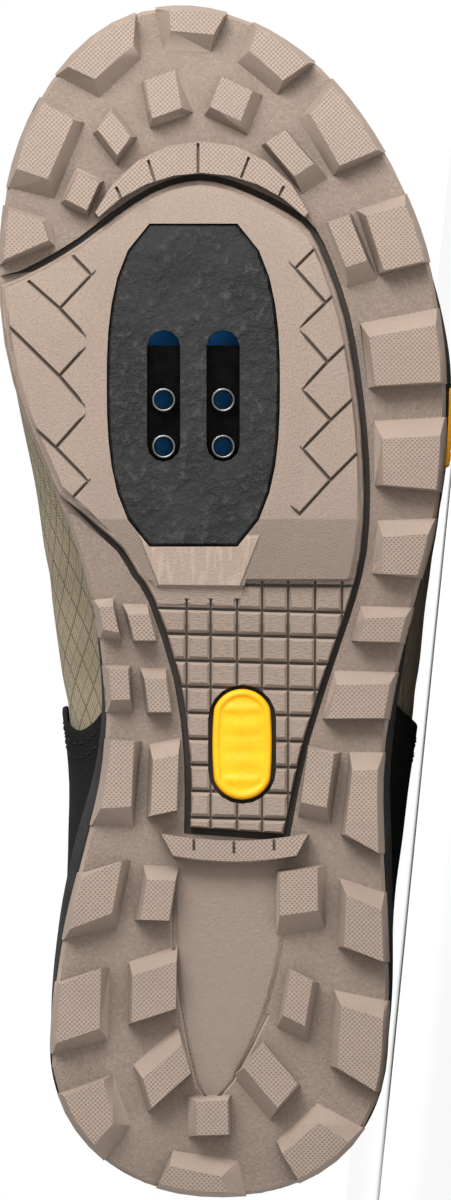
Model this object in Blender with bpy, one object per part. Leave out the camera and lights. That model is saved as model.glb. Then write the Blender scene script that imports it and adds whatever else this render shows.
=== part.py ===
"""Left cycling shoe with a lugged rubber sole, laid on its outer side.

The shoe is worked out standing: x runs to the inner side, y to the toe and z up from the tread.
Every piece hangs from one empty, which lays the shoe on its outer side at the end.
"""

import math
from collections import namedtuple

import bmesh
import bpy
import numpy as np
from mathutils import Matrix, Vector
from mathutils.bvhtree import BVHTree

MM = 0.001

# Driving sizes of the sole
SOLE_LENGTH = 281 * MM
BALL_WIDTH = 103.5 * MM
HEEL_ROUND = 37 * MM
TOE_ROUND = 76 * MM
LUG_HEIGHT = 5 * MM
SLAB_THICKNESS = 4 * MM
HEEL_STACK = 20 * MM
FOREFOOT_STACK = 15 * MM
RIM_WALL = 2.4 * MM
TOE_SPRING = 16 * MM
ARCH_LIFT = 3 * MM
HEEL_BEVEL = 2 * MM
CLEAR = 0.3 * MM

# Steps of the tread, as heights above the ground
OVERRUN = 3 * MM
PAD_LEVEL = 1.6 * MM
ARCH_LEVEL = 3.5 * MM
GROOVE_FLOOR = 6.5 * MM
GROOVE_WIDTH = 1.5 * MM
PANEL_EDGE = 0.5 * MM
PANEL_BEVEL = 0.4 * MM
PANEL_SINK = 0.7 * MM
PAD_SLANT = 0.7 * MM
SLAB_TUCK = 0.9 * MM
SLAB_BEVEL = 2 * MM
LUG_SLANT = 1.3 * MM
LUG_FOOT = 0.25 * MM
SINK = 2.2 * MM

# Cleat plate, its slots and the threaded plate behind it
PLATE_LENGTH = 75.5 * MM
PLATE_WIDTH = 40.2 * MM
PLATE_LEVEL = 6 * MM
PLATE_THICKNESS = 3 * MM
PLATE_SLOPE = 7 * MM
TOE_SLOPE = 1.5 * MM
HEEL_SLOPE = 4 * MM
SLOT_SPACING = 14 * MM
SLOT_LENGTH = 31 * MM
SLOT_WIDTH = 7.8 * MM
SLEEVE_WIDTH = 6.1 * MM
SLEEVE_BORE = 4.4 * MM
SLEEVE_ROW = 11 * MM
SLEEVE_DEPTH = 1 * MM
NUT_THICKNESS = 2.5 * MM
NUT_LENGTH = 39 * MM
NUT_WIDTH = 33 * MM

# Inset in the arch and tab on the outer side
INSET_LENGTH = 26 * MM
INSET_WIDTH = 14 * MM
INSET_MARGIN = 1.0 * MM
INSET_BEVEL = 1 * MM
TAB_LENGTH = 19 * MM
TAB_HEIGHT = 3.4 * MM
TAB_THICKNESS = 0.8 * MM
TAB_RAISE = 1.2 * MM

# Upper
UPPER_WALL = 2 * MM
FLOOR_DROP = 8 * MM
OVERLAY = 1.2 * MM
INSTEP_HEIGHT = 100 * MM
COLLAR_HEIGHT = 87 * MM
FEATHER_INSET = 1 * MM
INSOLE_THICKNESS = 3 * MM
INSOLE_INSET = 4.2 * MM
TONGUE_THICKNESS = 4.5 * MM
EYELET_WIDTH = 8 * MM
EYELET_BORE = 4.4 * MM
EYELET_THICKNESS = 1 * MM
EYELET_ROWS = 5
LACE_WIDTH = 5 * MM
LACE_THICKNESS = 1.3 * MM
LACE_OVERSHOOT = 1.5 * MM
EYELET_LIFT = 0.45 * MM
LACE_LIFT = 0.7 * MM
SKIN_WIDTH = 96 * MM
SKIN_LENGTH = 208 * MM

# How finely the curved pieces are cut into flat faces
EDGE_STEPS = 72
UPPER_RUN = 28
UPPER_ROWS = 12
LACE_BANDS = 6
GROOVE_STEPS = 2
BAR_STEPS = 9
SIDE_SAMPLES = 600

# Plan of the sole. along is a share of the length, the others are shares of the ball width
SolePlan = namedtuple("SolePlan", "along centre half_width")
SOLE_PLAN = [
    SolePlan(0.000, 0.008, 0.382),
    SolePlan(0.130, 0.013, 0.382),
    SolePlan(0.165, 0.008, 0.381),
    SolePlan(0.232, -0.004, 0.364),
    SolePlan(0.299, -0.023, 0.337),
    SolePlan(0.349, -0.038, 0.320),
    SolePlan(0.398, -0.051, 0.321),
    SolePlan(0.449, -0.060, 0.339),
    SolePlan(0.500, -0.065, 0.368),
    SolePlan(0.549, -0.064, 0.406),
    SolePlan(0.600, -0.049, 0.445),
    SolePlan(0.650, -0.024, 0.478),
    SolePlan(0.700, -0.003, 0.497),
    SolePlan(0.750, 0.015, 0.499),
    SolePlan(0.800, 0.029, 0.499),
    SolePlan(0.850, 0.047, 0.499),
    SolePlan(0.900, 0.064, 0.499),
    SolePlan(0.950, 0.079, 0.499),
    SolePlan(1.000, 0.102, 0.499),
]

# Lugs on the sole's edge, in turn from the toe tip down the outer side, round the heel and back.
# start to inner_end are shares of the way round, depths are shares of the ball width, and slopes
# say how far a side spreads on its way up to the sole, as shares of the lug's height
EdgeLug = namedtuple(
    "EdgeLug", "start end inner_start inner_end depth_start depth_end start_slope inner_slope end_slope")
EDGE_LUGS = [
    EdgeLug(0.029, 0.051, 0.030, 0.048, 0.065, 0.080, 0.35, 0.70, 0.20),
    EdgeLug(0.063, 0.091, 0.066, 0.089, 0.093, 0.106, 0.30, 0.50, 0.25),
    EdgeLug(0.113, 0.134, 0.111, 0.134, 0.104, 0.106, 0.50, 0.30, 0.10),
    EdgeLug(0.157, 0.177, 0.158, 0.178, 0.166, 0.161, 0.80, 0.33, 0.10),
    EdgeLug(0.196, 0.215, 0.198, 0.216, 0.144, 0.132, 0.90, 0.40, 0.10),
    EdgeLug(0.231, 0.246, 0.236, 0.249, 0.110, 0.091, 0.80, 0.42, 0.10),
    EdgeLug(0.261, 0.270, 0.265, 0.273, 0.101, 0.104, 0.50, 0.33, 0.05),
    EdgeLug(0.285, 0.297, 0.289, 0.300, 0.130, 0.138, 0.60, 0.26, 0.05),
    EdgeLug(0.315, 0.344, 0.316, 0.337, 0.070, 0.087, 0.80, 0.20, 0.05),
    EdgeLug(0.364, 0.382, 0.358, 0.376, 0.090, 0.100, 0.80, 0.30, 0.05),
    EdgeLug(0.402, 0.428, 0.398, 0.422, 0.109, 0.108, 0.80, 0.35, 0.05),
    EdgeLug(0.449, 0.472, 0.451, 0.474, 0.091, 0.079, 0.95, 0.60, 0.05),
    EdgeLug(0.498, 0.523, 0.500, 0.521, 0.048, 0.058, 0.90, 0.70, 0.05),
    EdgeLug(0.551, 0.572, 0.552, 0.573, 0.075, 0.109, 0.90, 0.50, 0.20),
    EdgeLug(0.592, 0.613, 0.598, 0.621, 0.109, 0.097, 0.55, 0.40, 0.05),
    EdgeLug(0.633, 0.652, 0.642, 0.661, 0.097, 0.089, 0.60, 0.40, 0.10),
    EdgeLug(0.677, 0.701, 0.680, 0.701, 0.079, 0.065, 0.90, 0.36, 0.05),
    EdgeLug(0.715, 0.726, 0.715, 0.725, 0.055, 0.056, 0.55, 0.15, 0.20),
    EdgeLug(0.740, 0.748, 0.738, 0.747, 0.047, 0.044, 0.35, 0.10, 0.40),
    EdgeLug(0.877, 0.895, 0.885, 0.892, 0.110, 0.092, 0.25, 0.30, 0.20),
    EdgeLug(0.910, 0.936, 0.909, 0.936, 0.087, 0.093, 0.95, 0.50, 0.20),
    EdgeLug(0.952, 0.983, 0.955, 0.978, 0.078, 0.069, 0.65, 0.70, 0.10),
    EdgeLug(0.996, 1.016, 0.996, 1.014, 0.059, 0.059, 0.65, 0.80, 0.10),
]

# Lugs inside the edge. along is a share of the length, across, length and width are shares of the
# ball width, turn lifts the outer end towards the toe and lean tips the toe end outwards, in degrees
InnerLug = namedtuple(
    "InnerLug", "along across length width turn lean toe_slope outer_slope heel_slope inner_slope")
INNER_LUGS = [
    InnerLug(0.924, 0.140, 0.089, 0.071, 20, -10, 0.05, 0.52, 0.36, 0.20),
    InnerLug(0.920, -0.014, 0.074, 0.077, -25, 21, 0.05, 0.54, 0.46, 0.12),
    InnerLug(0.891, 0.252, 0.053, 0.074, -53, 35, 0.26, 0.26, 0.30, 0.12),
    InnerLug(0.842, 0.324, 0.068, 0.053, -27, 24, 0.22, 0.16, 0.22, 0.20),
    InnerLug(0.874, -0.147, 0.100, 0.053, 33, -40, 0.05, 0.10, 0.90, 0.22),
    InnerLug(0.800, -0.278, 0.111, 0.051, 18, -22, 0.05, 0.16, 0.95, 0.30),
    InnerLug(0.477, 0.189, 0.061, 0.048, 0, -15, 0.52, 0.05, 0.05, 0.14),
    InnerLug(0.420, 0.153, 0.076, 0.049, 0, -8, 0.52, 0.06, 0.05, 0.16),
    InnerLug(0.345, 0.137, 0.126, 0.059, 12, 2, 0.78, 0.06, 0.05, 0.22),
    InnerLug(0.351, -0.210, 0.123, 0.059, -12, 8, 0.14, 0.34, 0.72, 0.05),
    InnerLug(0.249, 0.152, 0.092, 0.064, -2, 9, 0.66, 0.08, 0.05, 0.30),
    InnerLug(0.256, -0.167, 0.097, 0.087, 8, 0, 0.10, 0.38, 0.90, 0.14),
    InnerLug(0.172, 0.161, 0.107, 0.105, 18, 1, 0.70, 0.05, 0.05, 0.20),
    InnerLug(0.167, -0.165, 0.103, 0.055, -26, 10, 0.05, 0.34, 0.70, 0.18),
    InnerLug(0.102, 0.132, 0.069, 0.119, 42, -17, 0.84, 0.06, 0.05, 0.28),
    InnerLug(0.102, -0.104, 0.071, 0.118, -50, 41, 0.05, 0.16, 0.68, 0.12),
    InnerLug(0.067, 0.029, 0.077, 0.072, 2, -1, 0.25, 0.14, 0.10, 0.40),
]

# Curved bars across the sole. along and across place the middle of each edge's chord, and spans
# and sags of the toe-side and heel-side edges are shares of the ball width
CurvedBar = namedtuple("CurvedBar", "along_toe along_heel across span_toe span_heel sag_toe sag_heel")
CURVED_BARS = [
    CurvedBar(0.8240, 0.8204, 0.053, 0.484, 0.468, 0.162, 0.101),
    CurvedBar(0.3046, 0.2863, -0.022, 0.334, 0.280, -0.017, -0.013),
]

# Groove round the middle panel, as shares of the length and the ball width. One branch runs from
# the inner edge round the toe side and down the outer side, the other back up the arch
GroovePoint = namedtuple("GroovePoint", "along across")
OUTER_BRANCH = [
    GroovePoint(0.766, 0.505), GroovePoint(0.781, 0.420), GroovePoint(0.801, 0.330),
    GroovePoint(0.822, 0.257), GroovePoint(0.843, 0.170), GroovePoint(0.853, 0.091),
    GroovePoint(0.853, 0.023), GroovePoint(0.843, -0.057), GroovePoint(0.826, -0.148),
    GroovePoint(0.810, -0.200), GroovePoint(0.780, -0.239), GroovePoint(0.738, -0.277),
    GroovePoint(0.692, -0.300), GroovePoint(0.642, -0.316), GroovePoint(0.592, -0.323),
    GroovePoint(0.542, -0.316), GroovePoint(0.502, -0.291), GroovePoint(0.466, -0.259),
    GroovePoint(0.383, -0.186), GroovePoint(0.301, -0.139),
]
INNER_BRANCH = [
    GroovePoint(0.307, 0.086), GroovePoint(0.366, 0.086), GroovePoint(0.433, 0.109),
    GroovePoint(0.500, 0.168), GroovePoint(0.521, 0.205), GroovePoint(0.542, 0.239),
    GroovePoint(0.560, 0.295), GroovePoint(0.585, 0.370),
]
ARCH_START = 0.502

# Places of the hardware, as shares of the length and the ball width
PLATE_ALONG = 0.680
PLATE_ACROSS = 0.072
SLOT_ALONG = 0.671
SLEEVE_ALONG = 0.648
NUT_ALONG = 0.644
INSET_ALONG = 0.379
INSET_ACROSS = -0.039
TAB_ALONG = 0.645

# Profile of the upper. run goes from heel to toe along the ridge, crown is a share of the instep
# height above the feather line, waist the share of that climb where the shoe is widest
UpperForm = namedtuple("UpperForm", "run crown waist square")
UPPER_FORM = [
    UpperForm(0.00, 0.92, 0.16, 1.90),
    UpperForm(0.20, 0.96, 0.17, 1.90),
    UpperForm(0.30, 0.92, 0.18, 1.90),
    UpperForm(0.40, 0.81, 0.19, 1.90),
    UpperForm(0.50, 0.685, 0.19, 1.95),
    UpperForm(0.60, 0.570, 0.18, 2.05),
    UpperForm(0.70, 0.470, 0.17, 2.20),
    UpperForm(0.80, 0.390, 0.18, 2.35),
    UpperForm(0.90, 0.325, 0.20, 2.45),
    UpperForm(1.00, 0.270, 0.22, 2.50),
]
RIDGE_HEEL = 0.125
RIDGE_TOE = 0.865
RIDGE_LEAN = 0.03
WAIST_SHARE = 0.30

# How far the upper swells past the sole's edge, as shares of the ball width
Swell = namedtuple("Swell", "along inner outer")
SWELL = [
    Swell(0.00, 0.015, 0.015),
    Swell(0.15, 0.018, 0.020),
    Swell(0.25, 0.030, 0.035),
    Swell(0.30, 0.060, 0.064),
    Swell(0.35, 0.088, 0.075),
    Swell(0.40, 0.106, 0.071),
    Swell(0.45, 0.108, 0.058),
    Swell(0.50, 0.101, 0.034),
    Swell(0.55, 0.082, 0.018),
    Swell(0.60, 0.048, 0.010),
    Swell(0.65, 0.020, 0.004),
    Swell(0.70, 0.005, 0.002),
    Swell(0.80, 0.000, 0.000),
    Swell(1.00, -0.004, -0.004),
]

# How far the midsole flares past the outsole, as shares of the ball width
Flare = namedtuple("Flare", "along inner outer")
FLARE = [
    Flare(0.00, 0.004, 0.004),
    Flare(0.10, 0.008, 0.016),
    Flare(0.20, 0.018, 0.026),
    Flare(0.30, 0.030, 0.024),
    Flare(0.40, 0.014, 0.018),
    Flare(0.50, 0.006, 0.006),
    Flare(0.60, 0.006, 0.010),
    Flare(0.70, 0.006, 0.016),
    Flare(0.85, 0.004, 0.006),
    Flare(1.00, 0.002, 0.002),
]

# Rim of the collar seen from the side, as shares of the length and the collar height
CollarPoint = namedtuple("CollarPoint", "along height")
COLLAR = [
    CollarPoint(-0.10, 1.02), CollarPoint(0.00, 1.00), CollarPoint(0.04, 0.97),
    CollarPoint(0.12, 0.87), CollarPoint(0.20, 0.81), CollarPoint(0.27, 0.81),
    CollarPoint(0.34, 0.88), CollarPoint(0.41, 1.02), CollarPoint(0.46, 1.17),
    CollarPoint(0.50, 1.32),
]
# Front edge of the heel counter seen from the side
COUNTER = [
    CollarPoint(0.43, -0.20), CollarPoint(0.42, 0.25), CollarPoint(0.40, 0.42),
    CollarPoint(0.32, 0.60), CollarPoint(0.24, 0.72), CollarPoint(0.20, 1.00),
]

# Throat, eyestay and tongue as shares of the way round the upper, from the ridge to the sole
THROAT_TOE = 0.735
THROAT_TOP = 0.30
THROAT_HALF = 0.155
THROAT_ROUND = 0.05
EYESTAY_MARGIN = 0.14
EYESTAY_TOE = 0.05
EYELET_SET = 0.075
EYELET_FIRST = 0.700
EYELET_LAST = 0.465
TONGUE_HALF = 0.235
TONGUE_TOE = 0.775
TONGUE_TOP = 0.335

# Colours and finishes, with the density in kilograms a cubic metre that the shoe's balance needs
Finish = namedtuple("Finish", "red green blue roughness metallic density")
TAUPE_RUBBER = Finish(0.42, 0.335, 0.275, 0.75, 0.0, 1150)
BLACK_FOAM = Finish(0.030, 0.028, 0.028, 0.80, 0.0, 700)
BLACK_PLATE = Finish(0.020, 0.019, 0.019, 0.50, 0.0, 1150)
NUT_STEEL = Finish(0.50, 0.49, 0.47, 0.38, 1.0, 7850)
BLUE_FOAM = Finish(0.020, 0.150, 0.420, 0.85, 0.0, 200)
KHAKI_CLOTH = Finish(0.290, 0.235, 0.150, 0.85, 0.0, 450)
BLACK_CLOTH = Finish(0.022, 0.021, 0.020, 0.85, 0.0, 450)
YELLOW_RUBBER = Finish(0.850, 0.640, 0.010, 0.50, 0.0, 1150)
DARK_LACE = Finish(0.045, 0.043, 0.040, 0.90, 0.0, 600)
EYELET_STEEL = Finish(0.10, 0.10, 0.10, 0.40, 1.0, 7850)


def column(table, name):
    """One column of a table as an array."""
    return np.array([getattr(row, name) for row in table], dtype=float)


def smooth(at, knots, values):
    """Cubic curve through the knots, each slope taken from the two neighbours."""
    slopes = np.gradient(values, knots)
    spot = np.clip(np.searchsorted(knots, at, side="right") - 1, 0, len(knots) - 2)
    span = knots[spot + 1] - knots[spot]
    t = np.clip((at - knots[spot]) / span, 0.0, 1.0)
    start = (1 + 2 * t) * (1 - t) ** 2 * values[spot] + t * (1 - t) ** 2 * span * slopes[spot]
    end = t * t * (3 - 2 * t) * values[spot + 1] + t * t * (t - 1) * span * slopes[spot + 1]
    return start + end


def read(table, name, at):
    """Value of one column at any place, with the table's first column as the scale."""
    return smooth(np.asarray(at, dtype=float), column(table, table[0]._fields[0]), column(table, name))


def ease(t):
    t = np.clip(t, 0.0, 1.0)
    return t * t * (3 - 2 * t)


def edge_x(along, side):
    """Edge of the sole: plan width, rounded off by a superellipse at the heel and the toe."""
    heel_share = HEEL_ROUND / SOLE_LENGTH
    toe_share = TOE_ROUND / SOLE_LENGTH
    back = np.clip((heel_share - along) / heel_share, 0.0, 1.0)
    front = np.clip((along - 1 + toe_share) / toe_share, 0.0, 1.0)
    rounding = (1 - back ** 2.2) ** (1 / 2.2) * np.sqrt(1 - front ** 2)
    centre = read(SOLE_PLAN, "centre", along)
    return BALL_WIDTH * (centre + side * rounding * read(SOLE_PLAN, "half_width", along))


def walk_edge():
    """Points, outward directions and shares of the way round, from the toe tip down the outer side."""
    along = (1 - np.cos(np.linspace(0, math.pi, SIDE_SAMPLES))) / 2
    points = []
    shares = []
    for side in (-1, 1):
        line = np.stack([edge_x(along, side), along * SOLE_LENGTH], axis=1)
        steps = np.hypot(*np.diff(line, axis=0).T)
        travelled = np.concatenate([[0], np.cumsum(steps)]) / steps.sum()
        points.append(line)
        shares.append(travelled / 2)
    loop = np.concatenate([points[0][::-1], points[1][1:]])
    share = np.concatenate([0.5 - shares[0][::-1], 0.5 + shares[1][1:]])
    ahead = np.concatenate([loop[1:], loop[1:2]])
    behind = np.concatenate([loop[-2:-1], loop[:-1]])
    way = ahead - behind
    way /= np.linalg.norm(way, axis=1)[:, None]
    outward = np.stack([-way[:, 1], way[:, 0]], axis=1)
    outward *= np.sign(np.sum(outward * (loop - loop.mean(axis=0)), axis=1))[:, None]
    length = np.hypot(*np.diff(loop, axis=0).T).sum()
    return loop, outward, share, length


EDGE_LOOP, EDGE_OUTWARD, EDGE_SHARE, EDGE_LENGTH = walk_edge()


def edge_point(share, depth=0.0):
    """Plan points at shares of the way round, a depth inside the sole's edge."""
    share = np.asarray(share, dtype=float) % 1.0
    spot = [np.interp(share, EDGE_SHARE, EDGE_LOOP[:, axis]) for axis in (0, 1)]
    out = [np.interp(share, EDGE_SHARE, EDGE_OUTWARD[:, axis]) for axis in (0, 1)]
    scale = np.hypot(out[0], out[1])
    return np.stack([spot[0] - depth * out[0] / scale, spot[1] - depth * out[1] / scale], axis=-1)


def edge_share(along, side):
    """Share of the way round where the inner or outer edge passes a share of the length."""
    half = EDGE_SHARE >= 0.5 if side > 0 else EDGE_SHARE <= 0.5
    length = EDGE_LOOP[half, 1]
    share = EDGE_SHARE[half]
    order = np.argsort(length)
    return float(np.interp(along * SOLE_LENGTH, length[order], share[order]))


def side_value(table, share):
    """Inner or outer column of a table at shares of the way round."""
    along = edge_point(share)[..., 1] / SOLE_LENGTH
    inner = np.asarray(share) % 1.0 > 0.5
    return BALL_WIDTH * np.where(inner, read(table, "inner", along), read(table, "outer", along))


def true_rise(along):
    """Lift of the tread from the ground: bevelled heel, arch and toe spring."""
    heel = HEEL_BEVEL * np.clip((0.06 - along) / 0.06, 0, 1) ** 2
    arch = ARCH_LIFT * np.sin(math.pi * np.clip((along - 0.27) / 0.315, 0, 1)) ** 2
    toe = TOE_SPRING * np.clip((along - 0.73) / 0.27, 0, 1) ** 1.8
    return heel + arch + toe


BEND_STATIONS = np.concatenate([
    [-0.02, 0.0, 0.03, 0.06], 0.27 + 0.0525 * np.arange(7), 0.73 + 0.045 * np.arange(7)])
BEND_RISE = true_rise(BEND_STATIONS)


def rise(y):
    """The same lift in straight bands, so that flat faces stay flat between two stations."""
    return np.interp(y / SOLE_LENGTH, BEND_STATIONS, BEND_RISE)


def foot_level(y):
    """Top of the midsole above the tread, before the bend."""
    ramp = ease((0.62 - y / SOLE_LENGTH) / 0.34)
    return FOREFOOT_STACK + (HEEL_STACK - FOREFOOT_STACK) * ramp


def rim_level(y):
    """Top of the outsole's rim, before the bend."""
    slab_top = LUG_HEIGHT + SLAB_THICKNESS
    forefoot = ease((y / SOLE_LENGTH - 0.5) / 0.2)
    toe = ease((y / SOLE_LENGTH - 0.82) / 0.18)
    return slab_top + (0.6 + 1.0 * forefoot + 2.4 * toe) * MM


def new_object(name, mesh, collection):
    body = bpy.data.objects.new(name, mesh)
    collection.objects.link(body)
    return body


def mesh_from(name, points, faces):
    mesh = bpy.data.meshes.new(name)
    mesh.from_pydata([tuple(p) for p in points], [], faces)
    work = bmesh.new()
    work.from_mesh(mesh)
    bmesh.ops.remove_doubles(work, verts=work.verts, dist=0.001 * MM)
    bmesh.ops.dissolve_degenerate(work, edges=work.edges, dist=0.001 * MM)
    bmesh.ops.recalc_face_normals(work, faces=work.faces)
    work.to_mesh(mesh)
    work.free()
    return mesh


def loft(name, rings, collection, ladder=False):
    """Closed solid through rings of equal count, capped by one face or by rungs from side to side."""
    count = len(rings[0])
    points = np.concatenate(rings)
    faces = []
    for level in range(len(rings) - 1):
        low = level * count
        for i in range(count):
            j = (i + 1) % count
            faces.append((low + i, low + j, low + count + j, low + count + i))
    for first in (0, (len(rings) - 1) * count):
        if ladder:
            for i in range(count // 2):
                rung = [first + i, first + i + 1, first + (count - i - 1) % count, first + (count - i) % count]
                corners = list(dict.fromkeys(rung))
                if len(corners) > 2:
                    faces.append(tuple(corners))
        else:
            faces.append(tuple(range(first, first + count)))
    return new_object(name, mesh_from(name, points, faces), collection)


def at_level(plan, level):
    """Plan points lifted to one height or to a height each."""
    level = np.broadcast_to(level, len(plan))
    return np.column_stack([plan, level])


def remove(body):
    mesh = body.data
    bpy.data.objects.remove(body)
    bpy.data.meshes.remove(mesh)


def combine(body, tool, operation):
    """Exact Boolean of two solids, which uses the tool up."""
    modifier = body.modifiers.new(operation.lower(), "BOOLEAN")
    modifier.operation = operation
    modifier.solver = "EXACT"
    modifier.object = tool
    bpy.context.view_layer.update()
    graph = bpy.context.evaluated_depsgraph_get()
    result = bpy.data.meshes.new_from_object(body.evaluated_get(graph))
    old = body.data
    body.modifiers.clear()
    body.data = result
    bpy.data.meshes.remove(old)
    remove(tool)
    return body


def bend(body):
    """Cuts the solid at the stations and lifts each band by the rise of the sole."""
    work = bmesh.new()
    work.from_mesh(body.data)
    bmesh.ops.triangulate(work, faces=work.faces)
    for along in BEND_STATIONS:
        everything = work.verts[:] + work.edges[:] + work.faces[:]
        place = (0.0, along * SOLE_LENGTH, 0.0)
        bmesh.ops.bisect_plane(work, geom=everything, dist=0.0005 * MM, plane_co=place, plane_no=(0, 1, 0))
    for vertex in work.verts:
        vertex.co.z += float(rise(vertex.co.y))
    tidy(work)
    work.to_mesh(body.data)
    work.free()
    return body


def tidy(work):
    """Merges flat neighbours and drops slivers."""
    bmesh.ops.remove_doubles(work, verts=work.verts, dist=0.002 * MM)
    bmesh.ops.dissolve_degenerate(work, edges=work.edges, dist=0.002 * MM)
    bmesh.ops.dissolve_limit(
        work, angle_limit=math.radians(0.3), verts=work.verts, edges=work.edges, use_dissolve_boundaries=False)


def flatten_seams(body):
    work = bmesh.new()
    work.from_mesh(body.data)
    tidy(work)
    work.to_mesh(body.data)
    work.free()
    return body


def outline(depth):
    """Plan outline of the sole, a depth inside its edge."""
    share = np.arange(EDGE_STEPS) / EDGE_STEPS
    return edge_point(share, depth)


def edge_lug(row, collection):
    """Block on the sole's edge: its outer side follows the outline, its other sides are straight."""
    rings = []
    for height, spread, inset in ((0.0, 0.0, LUG_SLANT), (LUG_HEIGHT, 1.0, LUG_FOOT),
                                  (LUG_HEIGHT + SINK, 1.0, -CLEAR)):
        start = spread * row.start_slope * LUG_HEIGHT / EDGE_LENGTH
        end = spread * row.end_slope * LUG_HEIGHT / EDGE_LENGTH
        deeper = spread * row.inner_slope * LUG_HEIGHT
        outer = edge_point(np.linspace(row.start - start, row.end + end, 5), inset)
        last = edge_point(row.inner_end + end, row.depth_end * BALL_WIDTH + deeper)
        first = edge_point(row.inner_start - start, row.depth_start * BALL_WIDTH + deeper)
        rings.append(at_level(np.vstack([outer, last, first]), height))
    return loft("edge_lug", rings, collection)


def inner_lug(row, collection):
    """Four-sided block inside the edge, which spreads towards the sole."""
    turn = math.radians(row.turn)
    lean = math.radians(row.lean)
    outwards = np.array([-math.cos(turn), math.sin(turn)])
    toewards = np.array([-math.sin(lean), math.cos(lean)])
    centre = np.array([row.across * BALL_WIDTH, row.along * SOLE_LENGTH])
    rings = []
    for height, spread in ((0.0, 0.0), (LUG_HEIGHT, LUG_HEIGHT), (LUG_HEIGHT + SINK, LUG_HEIGHT)):
        toe = row.length * BALL_WIDTH / 2 + spread * row.toe_slope
        heel = -row.length * BALL_WIDTH / 2 - spread * row.heel_slope
        outer = row.width * BALL_WIDTH / 2 + spread * row.outer_slope
        inner = -row.width * BALL_WIDTH / 2 - spread * row.inner_slope
        corners = [(inner, toe), (outer, toe), (outer, heel), (inner, heel)]
        plan = np.array([centre + a * outwards + b * toewards for a, b in corners])
        rings.append(at_level(plan, height))
    return loft("inner_lug", rings, collection)


def arc(span, sag, steps):
    """Circular arc over a chord, from one end to the other, as x and y."""
    radius = (span * span / 4 + sag * sag) / (2 * abs(sag))
    reach = math.asin(min(1.0, span / 2 / radius))
    angle = np.linspace(-reach, reach, steps)
    lift = radius * (np.cos(angle) - math.cos(reach))
    return np.stack([radius * np.sin(angle), math.copysign(1, sag) * lift], axis=1)


def curved_bar(row, collection):
    """Bar between two arcs, sloped at its toe side only."""
    middle = row.across * BALL_WIDTH
    rings = []
    for height, spread in ((0.0, 0.0), (LUG_HEIGHT, 0.5 * MM), (LUG_HEIGHT + SINK, 0.5 * MM)):
        toe = arc(row.span_toe * BALL_WIDTH, row.sag_toe * BALL_WIDTH, BAR_STEPS)
        heel = arc(row.span_heel * BALL_WIDTH, row.sag_heel * BALL_WIDTH, BAR_STEPS)[::-1]
        toe = toe + np.array([middle, row.along_toe * SOLE_LENGTH + spread * (row.sag_toe > 0)])
        heel = heel + np.array([middle, row.along_heel * SOLE_LENGTH - spread * (row.sag_heel < 0)])
        rings.append(at_level(np.vstack([toe, heel]), height))
    return loft("curved_bar", rings, collection)


def curve_through(table):
    """Smooth plan curve through a table's points."""
    knots = np.arange(len(table), dtype=float)
    at = np.linspace(0, len(table) - 1, (len(table) - 1) * GROOVE_STEPS + 1)
    x = smooth(at, knots, column(table, "across")) * BALL_WIDTH
    y = smooth(at, knots, column(table, "along")) * SOLE_LENGTH
    return np.stack([x, y], axis=1)


def shifted(path, distance):
    """Plan path moved sideways, to its right for a positive distance."""
    way = np.gradient(path, axis=0)
    way /= np.linalg.norm(way, axis=1)[:, None]
    return path + distance * np.stack([way[:, 1], -way[:, 0]], axis=1)


def toe_part(path, limit):
    """Points of a plan path on the toe side of a line across the sole, ended on that line."""
    kept = []
    for here, after in zip(path[:-1], path[1:]):
        if here[1] > limit:
            kept.append(here)
        if (here[1] > limit) != (after[1] > limit):
            kept.append(here + (after - here) * (limit - here[1]) / (after[1] - here[1]))
    if path[-1][1] > limit:
        kept.append(path[-1])
    return np.array(kept)


def panel_plan(shift, edge_depth, keep_from=0.0):
    """Outline of the middle panel, its groove sides shifted outwards and its free side at the edge."""
    sides = []
    for table in (OUTER_BRANCH, INNER_BRANCH):
        path = curve_through(table)
        path = path[path[:, 0] < edge_x(path[:, 1] / SOLE_LENGTH, 1) - 2 * GROOVE_WIDTH]
        sides.append(shifted(toe_part(path, keep_from * SOLE_LENGTH), shift))
    outer, inner = sides
    outer[-1, 1] -= shift
    inner[0, 1] -= shift
    first = edge_share(INNER_BRANCH[-1].along, 1) - shift / EDGE_LENGTH
    last = edge_share(OUTER_BRANCH[0].along, 1) + shift / EDGE_LENGTH
    free = edge_point(np.linspace(first, last, 11), edge_depth)
    return np.vstack([outer, inner, free])


def plate_plan(grow, toe_extra=0.0, heel_extra=0.0):
    """Barrel-shaped plate outline: a superellipse with its two ends cut square."""
    half_length = PLATE_LENGTH / 2
    half_width = PLATE_WIDTH / 2 + grow
    share = np.linspace(-1, 1, 13)
    bow = (1 - (np.abs(share) * 0.93) ** 2.6) ** (1 / 2.6)
    length = np.where(share > 0, half_length + grow + toe_extra, half_length + grow + heel_extra)
    y = PLATE_ALONG * SOLE_LENGTH + share * length
    x = PLATE_ACROSS * BALL_WIDTH
    sides = [np.stack([x - half_width * bow, y], axis=1), np.stack([x + half_width * bow, y], axis=1)[::-1]]
    return np.vstack(sides)


def stadium(centre, length, width, steps=7):
    """Slot outline with two half-round ends, lengthwise."""
    half = (length - width) / 2
    angle = np.linspace(0, math.pi, steps)
    cap = np.stack([width / 2 * np.cos(angle), half + width / 2 * np.sin(angle)], axis=1)
    return np.vstack([cap, -cap]) + np.asarray(centre)


def prism(name, plan, low, high, collection):
    return loft(name, [at_level(plan, low), at_level(plan, high)], collection)


def slot_centres(along):
    middle = PLATE_ACROSS * BALL_WIDTH
    return [(middle + side * SLOT_SPACING / 2, along * SOLE_LENGTH) for side in (-1, 1)]


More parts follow.
